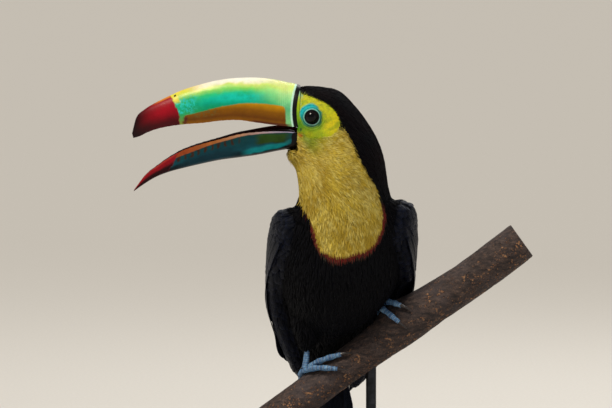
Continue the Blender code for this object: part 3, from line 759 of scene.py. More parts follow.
def eye_colours(points, colour):
    """Lays round each eye the turquoise ring, painted cyan as a highlight on its lit top and teal as
    painted shade below and in its crease; a painted shadow of darker green under the eye; the pale fold,
    painted as a highlight that is brightest on top; and the dark lid.
    """
    uneven = 0.8 * (mottle(points, 4 * MM, 2) - 0.5)
    for hand, middle in eye_at.items():
        axis = np.array(eye_axis[hand])
        off = points - np.array(middle)
        rise = off @ axis
        flat = off - rise[:, None] * axis
        ring = np.where(rise > 0, np.linalg.norm(flat, axis=1) / MM, 99)
        # sky: how far a point lies towards the upper left, where the light comes from; it steers the
        # painted light and shade below
        sky = unit(flat) @ unit(np.array([-0.5, 0, 0.86]))
        # Painted light on the ring: a cyan highlight on its upper side, teal shade on its lower side and in
        # the crease at 7.1 mm
        around = blend("turquoise", "cyan", smooth(sky, 0.1, 0.9) * 0.9)
        around = blend(around, "teal", smooth(-sky, 0.05, 0.95) * 0.8)
        around = blend(around, "teal", smooth(np.abs(ring - 7.1), 0.5, 0.1) * 0.45)
        # Painted shadow: darker green under the eye, on the side away from the light
        shadow = smooth(ring, 13, 8.5) * smooth(-sky, -0.2, 0.6) * 0.7
        colour = blend(colour, "green_face", shadow)
        fade = 9.0 + 2.4 * smooth(sky, 0.1, 1) + uneven
        colour = blend(colour, around, smooth(ring, fade, fade - 2.0))
        # Painted highlight: pale on the ridge of the fold at 6.15 mm, brighter towards the top
        fold_highlight = smooth(np.abs(ring - 6.15), 0.42, 0.16) * (0.55 + 0.4 * smooth(sky, -0.6, 0.4))
        colour = blend(blend(colour, "pale", fold_highlight), "lid", smooth(ring, 5.95, 5.6))
    return colour


def markings(points):
    """The bird's measures at points: colours, distance inside the bib and the bare face, place, angle."""
    place, at = follow(points, body_line)
    away = points - at["centre"]
    angle = np.degrees(np.arctan2((away * at["side"]).sum(1), (away * at["front"]).sum(1)))
    place = place * LAST_PLACE
    bib = inside_bib(place, angle)
    limit = through(FACE, np.abs(angle))[:, 0]
    face = np.minimum((limit - place) * NECK_STEP, (np.abs(angle) - FACE_EDGE) * SPREAD)
    face = np.minimum(face, bib)
    colour = eye_colours(points, body_colours(points, place, angle, bib, face))
    return blend(colour, "mouth", in_mouth(points).astype(float)), bib, face, place, angle


def relax(bm, factor, times):
    """Evens a mesh: each point moves towards the middle of its neighbours."""
    for _ in range(times):
        bmesh.ops.smooth_vert(
            bm, verts=bm.verts, factor=factor, use_axis_x=True, use_axis_y=True, use_axis_z=True
        )


shell = bmesh.new()
trees = {}
for node in (*FLESH, *EYES.values()):
    solid = bmesh.new()
    solid.from_mesh(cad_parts[node].data)
    bmesh.ops.remove_doubles(solid, verts=solid.verts, dist=0.01 * MM)
    solid.normal_update()
    trees[node] = BVHTree.FromBMesh(solid)
    for v in solid.verts:
        v.co += v.normal * FUSE
    whole = bpy.data.meshes.new(node)
    solid.to_mesh(whole)
    shell.from_mesh(whole)
    solid.free()
hide = bpy.data.meshes.new("hide")
shell.to_mesh(hide)
shell.free()
former = placed("former", hide)
fused = former.modifiers.new("fuse", "REMESH")
fused.mode, fused.voxel_size = "VOXEL", SKIN_CELL
bpy.context.view_layer.update()
hide = bpy.data.meshes.new_from_object(former.evaluated_get(bpy.context.evaluated_depsgraph_get()))
bpy.data.objects.remove(former)
shell = bmesh.new()
shell.from_mesh(hide)
relax(shell, 0.5, 7)
for reach in (12.5, 11.0):  # round the eyes the mesh is made finer twice (mm)
    near = set()
    for hand, middle in eye_at.items():
        for face in shell.faces:
            off = face.calc_center_median() - middle
            rise = off.dot(eye_axis[hand])
            if rise > -1 * MM and (off - eye_axis[hand] * rise).length < reach * MM:
                near.update(face.edges)
    bmesh.ops.subdivide_edges(shell, edges=list(near), cuts=1, use_grid_fill=True)
relax(shell, 0.5, 2)
shell.normal_update()

# How deep the skin lies under the solids' faces, to leave room for its coat (mm)
points = np.array([v.co for v in shell.verts])
_, bib, face, place, angle = markings(points)
body_sink = np.interp(place, (0, 2, 5, 8, 11, 14, 16), (0.5, 0.9, 1.4, 2.0, 2.5, 2.3, 1.6))
sink = np.where(bib > 0, np.interp(place, (0, 4, 10), (0.6, 1.1, 1.7)), body_sink)
sink = np.where(face > 0, 0.4, sink)
skin_over = np.zeros(len(points), int)  # 0 on the body, 1 and 2 on the left and right wing, 3 on a thigh
for i, p in enumerate(points.tolist()):
    if place[i] > 7:
        for number, node in ((1, "wing_left"), (2, "wing_right"), (3, "thigh_left"), (3, "thigh_right")):
            if trees[node].find_nearest(p, 1.3 * MM)[0] is not None:
                skin_over[i] = number
                break
wing_share = {hand: follow(points, wing_line[hand])[0] for hand in wing_line}
for number, hand in ((1, "left"), (2, "right")):
    wing_sink = np.interp(wing_share[hand], (0, 0.6, 0.9, 1), (1.6, 1.6, 1.1, 0.4))
    sink = np.where(skin_over == number, wing_sink, sink)
sink = np.where(skin_over == 3, 1.6, sink)
for v, depth in zip(shell.verts, sink):
    v.co -= v.normal * (depth + FUSE / MM) * MM
relax(shell, 0.4, 2)

# How much wider the horn grows at its foot, between which places ahead of the root, and the lower
# half's half width there (mm)
FOOT_FLARE, FLARE_ENDS, LOWER_FOOT = {"upper": 1.2, "lower": 2.9}, (8.5, -1.0), 14.4

# The lids: their inner edge, where the skin's own height takes over, and their end, as radii round the
# eye; then the folds: radius, half width and height (all mm)
LID_INNER, LID_BLEND, LIDS_END = 5.05, 8.4, 11
FOLDS = ((6.2, 0.4, 0.42), (7.05, 0.3, -0.34), (7.8, 0.36, 0.42), (8.7, 0.4, -0.26), (9.5, 0.45, 0.2))


def lid_height(ring, rise, turn):
    """The height over the eye's middle (mm) at a radius and a turn, where the skin itself is at rise."""
    if ring < LID_INNER - 0.01:
        globe = math.sqrt(max((EYE_RADIUS / MM) ** 2 - ring**2, 0))
        return globe - 0.1 - 1.2 * min((LID_INNER - ring) / 0.4, 1)
    rim = math.sqrt((EYE_RADIUS / MM) ** 2 - LID_INNER**2) + 0.18
    hold = 1 - float(smooth(ring, LID_INNER + 0.6, LID_BLEND))
    height = rim * hold + rise * (1 - hold)
    for at, half, tall in FOLDS:
        wave = 1 + 0.25 * math.sin(3 * turn + at) + 0.18 * math.sin(8 * turn + 2 * at)
        from_fold = ring - at - 0.12 * math.sin(5 * turn + at)
        height += tall * math.exp(-(from_fold / half) ** 2) * wave
    return height


for v in shell.verts:
    for hand, middle in eye_at.items():
        axis = eye_axis[hand]
        off = v.co - middle
        rise = off.dot(axis)
        flat = off - axis * rise
        ring = flat.length / MM
        if rise < -2 * MM or ring > LIDS_END:
            continue
        if abs(ring - LID_INNER) < 0.17:
            flat *= LID_INNER / ring
            ring = LID_INNER
        v.co = middle + flat + axis * lid_height(ring, rise / MM, math.atan2(flat.z, flat.x)) * MM

# The skin tucks under the flared foot of the bill's lower half
tucked = set()
for v in shell.verts:
    off = (v.co - BILL_ROOT) / MM
    ahead = -off.x
    if -0.6 < ahead < 13 and -31 < off.z < -13:
        rise = min(max((-15 - off.z) / 13, 0), 1)
        foot = LOWER_FOOT + FOOT_FLARE["lower"] * float(smooth(ahead, *FLARE_ENDS))
        narrow = max(foot * (1 - rise**2.22) ** 0.41 - 0.8, 0.5)
        if abs(off.y) > narrow:
            v.co.y = BILL_ROOT.y + math.copysign(narrow, off.y) * MM
            tucked.add(v.index)
shell.normal_update()


def read_off(items, key, kind=np.float32):
    """One set of three numbers from each of a mesh's items."""
    values = np.empty(len(items) * 3, kind)
    items.foreach_get(key, values)
    return values.reshape(-1, 3)


skin_mesh = as_mesh(shell, "skin", 180)
skin_co = read_off(skin_mesh.vertices, "co").astype(float)
colour, skin_bib, skin_bare, skin_place, skin_angle = markings(skin_co)
colour[(skin_over == 1) | (skin_over == 2)] = PAINTS["black"]
plume = skin_mesh.color_attributes.new("plume", "FLOAT_COLOR", "POINT")
plume.data.foreach_set("color", np.hstack([colour, skin_bare[:, None] / MM]).astype(np.float32).ravel())

# Bare skin: soft and slightly moist, with pores 0.5 mm apart and faint creases; the light goes a
# little way into it. Under the feathers the same skin is dull.
bare_skin = finish_named(
    "bird_skin", Subsurface_Weight=0.12, Subsurface_Scale=0.6 * MM, Specular_IOR_Level=0.25,
)
place = add("TexCoord", out="Object")
painted = add("Attribute", attribute_name="plume")
pores = add("TexVoronoi", place, Scale=1700)
creases = add("TexNoise", place, Scale=480, Detail=5, Distortion=0.8)
shade = add("MapRange", creases, 0.3, 0.7, 0.72, 1.12)
tone = add("Mix:MULTIPLY", 1.0, painted, shade)
height = add("Math:MULTIPLY_ADD", creases, 0.35, pores)
surface(tone, height, 0.22 * MM, creases, 0.34, 0.62)
piece("skin", skin_mesh, [bare_skin], "yellow_plumage", *FLESH)


# The eyes: clear cornea over a dark brown iris and a wide pupil, set as deep as the lids show.

CORNEA_RISE, EYE_SINK = 0.55 * MM, 0.05 * MM

# A wet eyeball: the iris is nearly black with a red-brown edge and fine spokes; the cornea is glossy.
eyeball = finish_named(
    "wet_dark_eye", Roughness=0.2, Specular_IOR_Level=0.05, Coat_Weight=0.8, Coat_Roughness=0.02,
    Coat_IOR=1.3,
)
lie = add("UVMap", uv_map="lay")
parts = add("SeparateXYZ", lie)
radius = parts.node.outputs["Y"]
spokes = drawn_out(lie, (70, 3, 1), 3)
shift = add("Math:MULTIPLY_ADD", spokes, 0.08, radius)
tone = add("ValToRGB", shift, stops=[
    (0.0, "020202"), (0.43, "030303"), (0.47, "0C0706"), (0.6, "150B07"), (0.7, "0E0806"),
    (0.8, "050404"),
])
surface(tone)
for hand, node in EYES.items():
    axis = eye_axis[hand]
    ball = bmesh.new()
    bmesh.ops.create_uvsphere(ball, u_segments=64, v_segments=40, radius=EYE_RADIUS)
    layer = ball.loops.layers.uv.new("lay")
    for patch in ball.faces:
        spots = [loop.vert.co for loop in patch.loops]
        turns = [math.atan2(spot.y, spot.x) / (2 * math.pi) + 0.5 for spot in spots]
        for loop, spot, turn in zip(patch.loops, spots, turns):
            wrapped = turn + (1 if max(turns) - turn > 0.5 else 0)
            out = spot.xy.length if spot.z > 0 else EYE_RADIUS
            loop[layer].uv = (wrapped, out / EYE_RADIUS)
    for v in ball.verts:
        bulge = math.exp(-(v.co.xy.length / (0.5 * EYE_RADIUS)) ** 4) if v.co.z > 0 else 0
        v.co.z += CORNEA_RISE * bulge - EYE_SINK
    bmesh.ops.rotate(ball, verts=ball.verts, matrix=axis.to_track_quat("Z", "Y").to_matrix())
    bmesh.ops.translate(ball, verts=ball.verts, vec=eye_at[hand])
    piece(f"eyeball_{hand}", ball, [eyeball], "dark_eye", node, sharp_from=180)


# The bill: two light horny shells over a bony honeycomb, built up in thin layers from the root, with
# a raised black rim at the face and small saw teeth along the cutting edges.

HEAD_ROLL = math.radians(1.5)
BILL_SPAN = 130 * MM  # the length that the bill's map covers
# From the face to the tip: share, the ridge's distance ahead and height, the cutting edge's distance
# ahead and height, and half the width (mm from the bill's root)
UPPER_HALF = (
    (0.0, -3.0, 20.0, -1.9, -11.0, 16.2), (0.12, 15.0, 24.3, 17.0, -9.4, 15.6),
    (0.24, 29.5, 26.1, 31.0, -7.6, 15.0), (0.36, 44.0, 26.0, 45.0, -5.8, 14.2),
    (0.48, 58.5, 24.5, 58.5, -6.4, 13.2), (0.6, 73.0, 21.2, 72.5, -8.2, 12.0),
    (0.72, 88.0, 16.6, 87.0, -9.4, 10.6), (0.82, 100.0, 11.2, 98.0, -11.0, 9.0),
    (0.9, 110.0, 6.2, 107.5, -13.2, 7.2), (0.955, 118.2, 1.0, 115.5, -16.2, 5.2),
    (0.985, 124.0, -5.0, 121.5, -19.2, 3.0), (1.0, 127.2, -17.0, 126.2, -20.6, 0.9),
)
# Of the lower half, the keel stands in place of the ridge.
LOWER_HALF = (
    (0.0, -0.4, -28.0, -1.2, -15.0, 14.4), (0.12, 15.0, -30.6, 15.5, -14.5, 14.0),
    (0.24, 29.5, -33.5, 29.5, -14.9, 13.4), (0.36, 44.0, -35.6, 43.5, -16.6, 12.6),
    (0.48, 58.5, -37.5, 57.5, -20.2, 11.5), (0.6, 73.0, -40.5, 71.5, -24.0, 10.1),
    (0.72, 87.0, -43.8, 85.5, -28.6, 8.5), (0.82, 98.8, -47.0, 97.0, -34.4, 6.8),
    (0.9, 109.0, -51.0, 107.5, -41.6, 5.1), (0.96, 118.0, -56.4, 117.0, -49.2, 3.2),
    (1.0, 126.2, -62.2, 125.6, -60.6, 0.9),
)
TOOTH_PITCH = 5.2 * MM
RIM_REACH, RIM_RISE = 3.6 * MM, 0.35 * MM
STATIONS, OUTER, INNER = 130, 45, 19  # steps along each half, and points round its outside and lining


def head_place(ahead, up, across=0.0):
    """A point ahead of, above and to the left of the bill's root, on the rolled head."""
    turn = Matrix.Rotation(-HEAD_ROLL, 3, Vector((-1, 0, 0)))
    return BILL_ROOT + turn @ Vector((-ahead, -across, up))


def bill_shell(table, hollow, teeth, flare):
    """One half of the bill, with its lining hollow to a share of the depth and saw teeth so tall.

    Its map holds the distance ahead and the height from edge to ridge.
    """
    outlines, lay = [], []
    for k in range(STATIONS + 1):
        share = math.sin(k / STATIONS * math.pi / 2) ** 1.1
        far_ahead, far_up, edge_ahead, edge_up, width = through(table, share) * MM
        sign = math.copysign(1, far_up - edge_up)
        bite = (edge_ahead / TOOTH_PITCH) % 1.0
        bite = teeth * (1 - bite ** 1.7) * float(
            smooth(edge_ahead / MM, 14, 30) * smooth(edge_ahead / MM, 124, 112)
        )
        depth, ring, flat = hollow * (1 - share**3), [], []
        swell = RIM_RISE * float(smooth(edge_ahead, RIM_REACH * 1.15, RIM_REACH * 0.85))
        swell += flare * MM * float(smooth(edge_ahead / MM, *FLARE_ENDS))
        for j in range(OUTER):
            angle = math.pi * j / (OUTER - 1)
            cos, rise = math.cos(angle), abs(math.sin(angle)) ** 0.9
            across = -(width + swell) * math.copysign(abs(cos) ** 0.82, cos)
            near_edge = bite * math.exp(-((rise / 0.05) ** 2)) * sign
            ahead = edge_ahead + (far_ahead - edge_ahead) * rise
            up = edge_up + (far_up - edge_up) * rise + near_edge + min(swell, RIM_RISE) * sign * rise
            ring.append(head_place(ahead + AIR, up, across))
            flat.append((ahead / BILL_SPAN, rise))
        for j in range(1, INNER + 1):
            across = width * (1 - 2 * j / (INNER + 1)) * 0.88
            rise = depth * (1 - (abs(across) / (width * 0.88)) ** 3) + 0.012
            ahead = edge_ahead + (far_ahead - edge_ahead) * rise
            ring.append(head_place(ahead + AIR, edge_up + (far_up - edge_up) * rise, across))
            flat.append((ahead / BILL_SPAN, rise))
        outlines.append(ring)
        lay.append(flat)
    bm, rings = loft(outlines, lay)
    lining = {v for ring in rings for v in ring[OUTER:]}
    for patch in bm.faces:
        patch.material_index = int(any(v in lining for v in patch.verts) and len(patch.verts) == 4)
    return bm


def bill_measures():
    """On a bill's map: the distance ahead (mm) and the height from edge to ridge, both waved a little."""
    lie = add("UVMap", uv_map="lay")
    parts = add("SeparateXYZ", lie)
    place = add("TexCoord", out="Object")
    wave = add("TexNoise", place, Scale=190, Detail=4, Roughness=0.6)
    swing = add("TexNoise", place, Scale=75, Detail=2)
    ahead = add("Math:MULTIPLY", parts, BILL_SPAN / MM)
    off = add("MapRange", wave, 0, 1, -2.6, 2.6)
    waved = add("Math:ADD", ahead, off)
    height = parts.node.outputs["Y"]
    off = add("MapRange", swing, 0, 1, -0.13, 0.13)
    tall = add("Math:ADD", height, off)
    return place, ahead, waved, height, tall, wave


def within(value, start, end, soft):
    """A soft-edged mask between two values."""
    rise = add("MapRange:SMOOTHSTEP", value, start - soft, start + soft)
    fall = add("MapRange:SMOOTHSTEP", value, end + soft, end - soft)
    return add("Math:MULTIPLY", rise, fall)


def layered(ground, layers):
    """Glazes colours over a ground in turn, each through the product of its masks."""
    for colour, *masks in layers:
        share = masks[0]
        for other in masks[1:]:
            share = add("Math:MULTIPLY", share, other)
        ground = add("Mix", share, ground, colour)
    return ground


# The upper half's horn: green to turquoise under a ridge painted cream to white as a highlight, an amber
# panel along the edge with a painted shadow on the cutting edge near the root, a crimson tip and the black
# rim, with the face's green behind it. It is smooth and satin, with growth lines round its root.
upper_horn = finish_named(
    "painted_horn_upper", Coat_Weight=0.06, Coat_Roughness=0.22, Specular_IOR_Level=0.18,
    Subsurface_Weight=0.06, Subsurface_Scale=1.2 * MM,
)
place, ahead, waved, height, tall, wave = bill_measures()
# The side's top stops, cream to near white at the ridge, are a painted highlight over the ridge's own
# yellow
side = add("ValToRGB", tall, stops=[
    (0.0, "3FA648"), (0.34, "069A62"), (0.47, "00A886"), (0.58, "04C09A"), (0.68, "2ACC7E"),
    (0.79, "86DC5E"), (0.88, "DCEC78"), (0.95, "FAF6CC"), (1.0, "FBF2C8"),
])
root = add("ValToRGB", tall, stops=[
    (0.0, "7CC878"), (0.42, "2CB878"), (0.56, "72D888"), (0.74, "AEF094"), (0.88, "D8F47C"),
    (1.0, "E6F088"),
])
front = add("ValToRGB", tall, stops=[
    (0.0, "8A8A30"), (0.3, "2FA256"), (0.5, "0EAE7E"), (0.68, "3CC070"), (0.8, "A8D850"), (0.9, "DDE04C"),
    (1.0, "F2D552"),
])
near_root = add("MapRange:SMOOTHSTEP", waved, 40, 10)
far_front = add("MapRange:SMOOTHSTEP", waved, 66, 86)
panel_top = add("FloatCurve", 1, add("Math:DIVIDE", ahead, 100.0), bends=[
    (0, 0.4), (0.12, 0.45), (0.33, 0.43), (0.51, 0.37), (0.7, 0.31), (0.86, 0.25), (1, 0.2),
])
below = add("Math:SUBTRACT", panel_top, height)
below = add("Math:MULTIPLY", below, 34.0)
behind = add("Math:SUBTRACT", ahead, 8.2)
before = add("Math:SUBTRACT", 86.5, waved)
panel = add("Math:SMOOTH_MIN", below, behind, 5.0)
panel = add("Math:MINIMUM", panel, before)
ragged = add("Math:MULTIPLY_ADD", wave, 1.6, panel)
panel_mask = add("MapRange:SMOOTHSTEP", ragged, 0.1, 1.5)
amber = add("ValToRGB", height, stops=[
    (0.0, "8E5804"), (0.12, "6C3C02"), (0.28, "8A5602"), (0.42, "C48A04"),
])
bend = add("Math:POWER", height, 2.0)
tip_from = add("Math:MULTIPLY_ADD", bend, 7.5, 90.0)
past = add("Math:SUBTRACT", waved, tip_from)
tip = add("MapRange:SMOOTHSTEP", past, -0.5, 0.9)
fleck = add("TexNoise", place, Scale=420, Detail=3, Roughness=0.65)
flecks = add("MapRange", fleck, 0.44, 0.62)
deep = add("MapRange:SMOOTHSTEP", ahead, 104, 126)
under = add("MapRange:SMOOTHSTEP", tall, 0.62, 0.1)
# Painted highlight: near white along the ridge
ridge_highlight = add("MapRange:SMOOTHSTEP", tall, 0.86, 0.96)
rim_edge = add("FloatCurve", 1, height, bends=[(0, 0.29), (0.3, 0.42), (0.64, 0.34), (1.0, 0.06)])
rim_edge = add("Math:MULTIPLY_ADD", rim_edge, 10.0, -1.0)
from_rim = add("Math:SUBTRACT", ahead, rim_edge)
rim_mask = add("MapRange", from_rim, 0.25, -0.25)
foot = add("ValToRGB", height, stops=[
    (0.0, "5E9614"), (0.35, "8DB81C"), (0.6, "B4C41E"), (0.72, "A9CC5C"), (0.8, "9CCFA4"),
])
foot_mask = add("MapRange:SMOOTHSTEP", from_rim, -3.2, -3.7)
lines = add("Math:PINGPONG", ahead, 0.8)
lines = add("Math:MULTIPLY", lines, within(ahead, 3, 13, 4))
ground = layered(side, [(root, near_root), (front, far_front)])
ground = layered(ground, [
    ("10CCB4", within(waved, 30, 62, 9), within(height, 0.48, 0.66, 0.1), within(wave, 0.42, 1.2, 0.16)),
    ("FFFAE6", ridge_highlight, within(ahead, 24, 72, 16)),
    ("2CD0C4", flecks, within(waved, 78, 96, 3), within(height, 0.3, 0.78, 0.08)),
    ("E9E04A", within(past, -4.2, 0.5, 0.8), within(height, 0.7, 1.1, 0.08)),
    ("EAF7CE", add("Math:MULTIPLY", lines, 0.3)), (amber, panel_mask),
    ("6E5A2A", panel_mask, within(waved, 62, 78, 5), flecks, within(height, 0.16, 0.5, 0.06)),
    # Painted shadow: dark brown along the cutting edge near the root, where the lower half shades it
    ("5A2A12", within(ahead, 5, 34, 4), within(height, -0.1, 0.05, 0.02)),
    (
        "5A2418", within(waved, 84, 87.0, 1.0), within(height, 0.02, 0.22, 0.06),
        within(fleck, 0.42, 1, 0.08),
    ),
    ("A2091C", tip), ("46030C", tip, under), ("180205", tip, deep),
    ("D8862C", tip, within(height, 0.95, 1.2, 0.03), within(ahead, 88, 108, 5)),
    ("2A1A10", within(ahead, 92.9, 94.6, 0.3), within(height, 0.9, 0.955, 0.015)),
    ("C4F0D8", within(from_rim, -0.5, 1.4, 0.6)), ("0A090B", rim_mask),
    (foot, foot_mask, within(height, -0.2, 0.88, 0.03)),
])
patchy = add("MapRange", wave, 0.3, 0.7, 0.86, 1.08)
ground = add("Mix:MULTIPLY", 1.0, ground, patchy)
scratch = drawn_out(place, (160, 1500, 1500), 4)
relief = add("Math:MULTIPLY_ADD", lines, 0.9, wave)
relief = add("Math:MULTIPLY_ADD", scratch, 0.25, relief)
surface(ground, relief, 0.16 * MM, scratch, 0.24, 0.44)

# The mouth's lining: thin horn over flesh, maroon and moist.
mouth = finish_named("mouth_lining", Specular_IOR_Level=0.5)
place = add("TexCoord", out="Object")
folds = drawn_out(place, (120, 700, 700), 4)
tone = add("ValToRGB", folds, stops=[(0.3, "240A0C"), (0.55, "4A1618"), (0.75, "6E2A26")])
surface(tone, folds, 0.2 * MM, folds, 0.3, 0.5)

upper = bill_shell(UPPER_HALF, 0.22, 0.16 * MM, FOOT_FLARE["upper"])
piece("bill_upper_horn", upper, [upper_horn, mouth], "bill_green", "bill_upper", sharp_from=50)

# The lower half's horn: deep teal over a black keel, an olive panel at its root, a pink-tan cutting
# edge with brown ticks below the saw teeth, and a crimson tip.
lower_horn = finish_named(
    "painted_horn_lower", Coat_Weight=0.04, Coat_Roughness=0.22, Specular_IOR_Level=0.12,
    Subsurface_Weight=0.05, Subsurface_Scale=1.0 * MM,
)
place, ahead, waved, height, tall, wave = bill_measures()
# The teal is darker than the horn's own, as painted shade over the whole lower half; the near black towards
# the keel is the keel's own colour
side = add("ValToRGB", tall, stops=[
    (0.0, "0C3E3C"), (0.25, "073E44"), (0.5, "054852"), (0.66, "075A68"), (0.78, "04242C"),
    (0.88, "020405"),
])
strip = add("ValToRGB", add("Math:DIVIDE", waved, 100.0), stops=[
    (0.0, "A5A2C2"), (0.18, "B4A4B4"), (0.4, "BE8E70"), (0.62, "B06A34"), (0.85, "9C4620"),
])
strip_edge = add("FloatCurve", 1, add("Math:DIVIDE", ahead, 100.0), bends=[
    (0, 0.06), (0.2, 0.1), (0.4, 0.13), (0.6, 0.18), (0.88, 0.3), (1, 0.34),
])
edge_wave = add("Math:MULTIPLY_ADD", add("Math:SUBTRACT", tall, height), 0.3, height)
strip_in = add("Math:SUBTRACT", strip_edge, edge_wave)
strip_mask = add("MapRange:SMOOTHSTEP", strip_in, 0.0, 0.035)
ticks = add("Math:PINGPONG", waved, 2.6)
ticks = add("MapRange", ticks, 1.2, 2.2)
tip_from = add("Math:MULTIPLY_ADD", height, 9.0, 90.5)
past = add("Math:SUBTRACT", waved, tip_from)
tip = add("MapRange:SMOOTHSTEP", past, -0.8, 1.4)
rim_edge = add("FloatCurve", 1, height, bends=[
    (0, 0.1), (0.14, 0.34), (0.55, 0.38), (0.72, 0.5), (0.86, 0.85), (1.0, 1.4),
])
rim_edge = add("Math:MULTIPLY", rim_edge, 10.0)
from_rim = add("Math:SUBTRACT", ahead, rim_edge)
rim_mask = add("MapRange", from_rim, 0.25, -0.25)
keel_from = add("FloatCurve", 1, add("Math:DIVIDE", ahead, 100.0), bends=[
    (0, 0.54), (0.06, 0.67), (0.13, 0.79), (0.22, 0.86), (1, 0.93),
])
keel_in = add("Math:SUBTRACT", tall, keel_from)
keel = add("MapRange:SMOOTHSTEP", keel_in, -0.03, 0.05)
fleck = add("TexNoise", place, Scale=420, Detail=3, Roughness=0.65)
ground = layered(side, [
    ("0C98A0", within(waved, 5, 40, 5), within(keel_in, -0.22, -0.02, 0.06)),
    ("2C4A14", within(waved, 7, 30, 4), within(tall, 0.12, 0.56, 0.07)),
    ("0B3A48", within(waved, 46, 90, 12), within(tall, 0.5, 1.1, 0.2)),
    ("3B2417", ticks, within(waved, 44, 98, 6), within(strip_in, -0.24, 0.02, 0.06)), (strip, strip_mask),
    ("46322E", strip_mask, within(strip_in, 0.0, 0.03, 0.015), within(fleck, 0.45, 1, 0.05)),
    ("920C1A", tip), ("A8322C", tip, within(tall, -0.2, 0.14, 0.08)),
    ("2E030A", tip, within(tall, 0.5, 1.3, 0.15)), ("05070A", keel), ("0A090B", rim_mask),
])
patchy = add("MapRange", wave, 0.3, 0.7, 0.8, 1.12)
ground = add("Mix:MULTIPLY", 1.0, ground, patchy)
scratch = drawn_out(place, (160, 1500, 1500), 4, turn=-0.35)
relief = add("Math:MULTIPLY_ADD", scratch, 0.3, wave)
surface(ground, relief, 0.16 * MM, scratch, 0.26, 0.46)
lower = bill_shell(LOWER_HALF, 0.62, 0.3 * MM, FOOT_FLARE["lower"])
piece("bill_lower_horn", lower, [lower_horn, mouth], "bill_teal", "bill_lower", sharp_from=50)

# The tongue: a thin horny strip in the lower half, frayed along both edges like a feather.
TONGUE_LENGTH, TONGUE_RISE = 92 * MM, 1.9
TONGUE_SECTION = (
    (-1, -0.1), (-0.6, -0.9), (0, -1.1), (0.6, -0.9), (1, -0.1), (0.6, 0.35), (0, 0.1), (-0.6, 0.35),
)
TONGUE_STEPS = 120
outlines, lay = [], []
for k in range(TONGUE_STEPS + 1):
    share = k / TONGUE_STEPS
    edge_up = through(LOWER_HALF, share * 0.72)[3]
    bed = (edge_up + TONGUE_RISE * float(smooth(share, 0.0, 0.08)) - 4.4 * share**1.5) * MM
    fray = 0.35 * ((k % 4) / 3) * float(smooth(share, 0.25, 0.7))
    width = (3.6 - 2.6 * share - fray) * MM * (1 if k < TONGUE_STEPS else 0.3)
    thick = 1.0 * MM * (1 - share * 0.5)
    swell = 1.8 * MM * float(smooth(share, 0.45, 0.12))  # fills the corner of the mouth
    ahead = TONGUE_LENGTH * share - 1.5 * MM * (1 - share)
    outlines.append([
        head_place(ahead, bed + b * thick + (swell if b > -0.5 else 0), a * width)
        for a, b in TONGUE_SECTION
    ])
    lay.append([(j / len(TONGUE_SECTION), share) for j in range(len(TONGUE_SECTION))])
piece("tongue_strip", loft(outlines, lay)[0], [mouth], "mouth_flesh", "tongue")


# The small feathers: every tuft is one closed blade rooted in the skin and laid tailwards over the
# next, silky and hair-fine on the throat, short and dense on crown and nape, looser on the body.

skin_mesh.calc_loop_triangles()
skin_tri = read_off(skin_mesh.loop_triangles, "vertices", np.int32)
skin_out = read_off(skin_mesh.vertices, "normal").astype(float)
skin_tree = BVHTree.FromPolygons(skin_co.tolist(), skin_tri.tolist())
tri_out = unit(skin_out[skin_tri].mean(1))
corners = skin_co[skin_tri]
tri_area = np.linalg.norm(
    np.cross(corners[:, 1] - corners[:, 0], corners[:, 2] - corners[:, 0]), axis=1,
) / 2
draw = np.random.default_rng(11)


def thinned(points, gap):
    """The numbers of the points that stay when none may stand closer to an earlier one than the gap."""
    cells, kept = {}, []
    around = [(a, b, c) for a in (-1, 0, 1) for b in (-1, 0, 1) for c in (-1, 0, 1)]
    keys = np.floor(points / gap).astype(int).tolist()
    for i, ((a, b, c), spot) in enumerate(zip(keys, points.tolist())):
        others = [cells.get((a + da, b + db, c + dc)) for da, db, dc in around]
        if all(other is None or math.dist(other, spot) >= gap for other in others):
            cells[(a, b, c)] = spot
            kept.append(i)
    return kept


TRIES = 3.2  # roots that are drawn for each gap-sized square of skin


def rooted(wanted, gap):
    """Evenly spread roots over the wanted part of the skin: their places and the ways out."""
    share = tri_area * wanted[skin_tri].mean(1).round()
    count = int(share.sum() / gap**2 * TRIES)
    chosen = draw.choice(len(share), count, p=share / share.sum())
    a, b = draw.random(count), draw.random(count)
    a, b = np.where(a + b > 1, 1 - a, a), np.where(a + b > 1, 1 - b, b)
    first, second, third = corners[chosen, 0], corners[chosen, 1], corners[chosen, 2]
    points = first + (second - first) * a[:, None] + (third - first) * b[:, None]
    kept = thinned(points, gap)
    return points[kept], tri_out[chosen[kept]]


SKIN_REACH = 1.6 * MM  # a point that is further from the skin stays free
OVER_BARK = 0.5 * MM  # how far feathers stay above the bark


def settle(points, out, root_out):
    """The nearest places on the skin and the way out there; past the skin's end a point stays free."""
    found = [skin_tree.find_nearest(p) for p in points.tolist()]
    spots = np.array([f[0] for f in found])
    ways = tri_out[[f[2] for f in found]]
    near = np.array([f[3] for f in found]) < SKIN_REACH
    below = near & ((ways * out).sum(1) > 0.4) & ((ways * root_out).sum(1) > 0.45)
    return np.where(below[:, None], spots, points), np.where(below[:, None], ways, out)


def clear_of_branch(points):
    """Keeps feathers that hang over the branch on top of its bark."""
    flat = points.reshape(-1, 3)
    up, along = np.array(PERCH_TOP), np.array(PERCH_ALONG)
    off = flat - np.array([0, 0, PERCH_HEIGHT])
    far = off @ along
    knots = through(BRANCH, far / MM) * MM
    away = off - far[:, None] * along - knots[:, 1:] * up
    gap = np.linalg.norm(away, axis=1)
    swell = SHOOT_RISE * np.exp(-(((far - SHOOT_PLACE) / SHOOT_HALF) ** 2)) * np.clip(away @ up / gap, 0, 1)
    short = np.clip(knots[:, 0] + swell + OVER_BARK - gap, 0, None)
    return (flat + unit(away) * short[:, None]).reshape(points.shape)


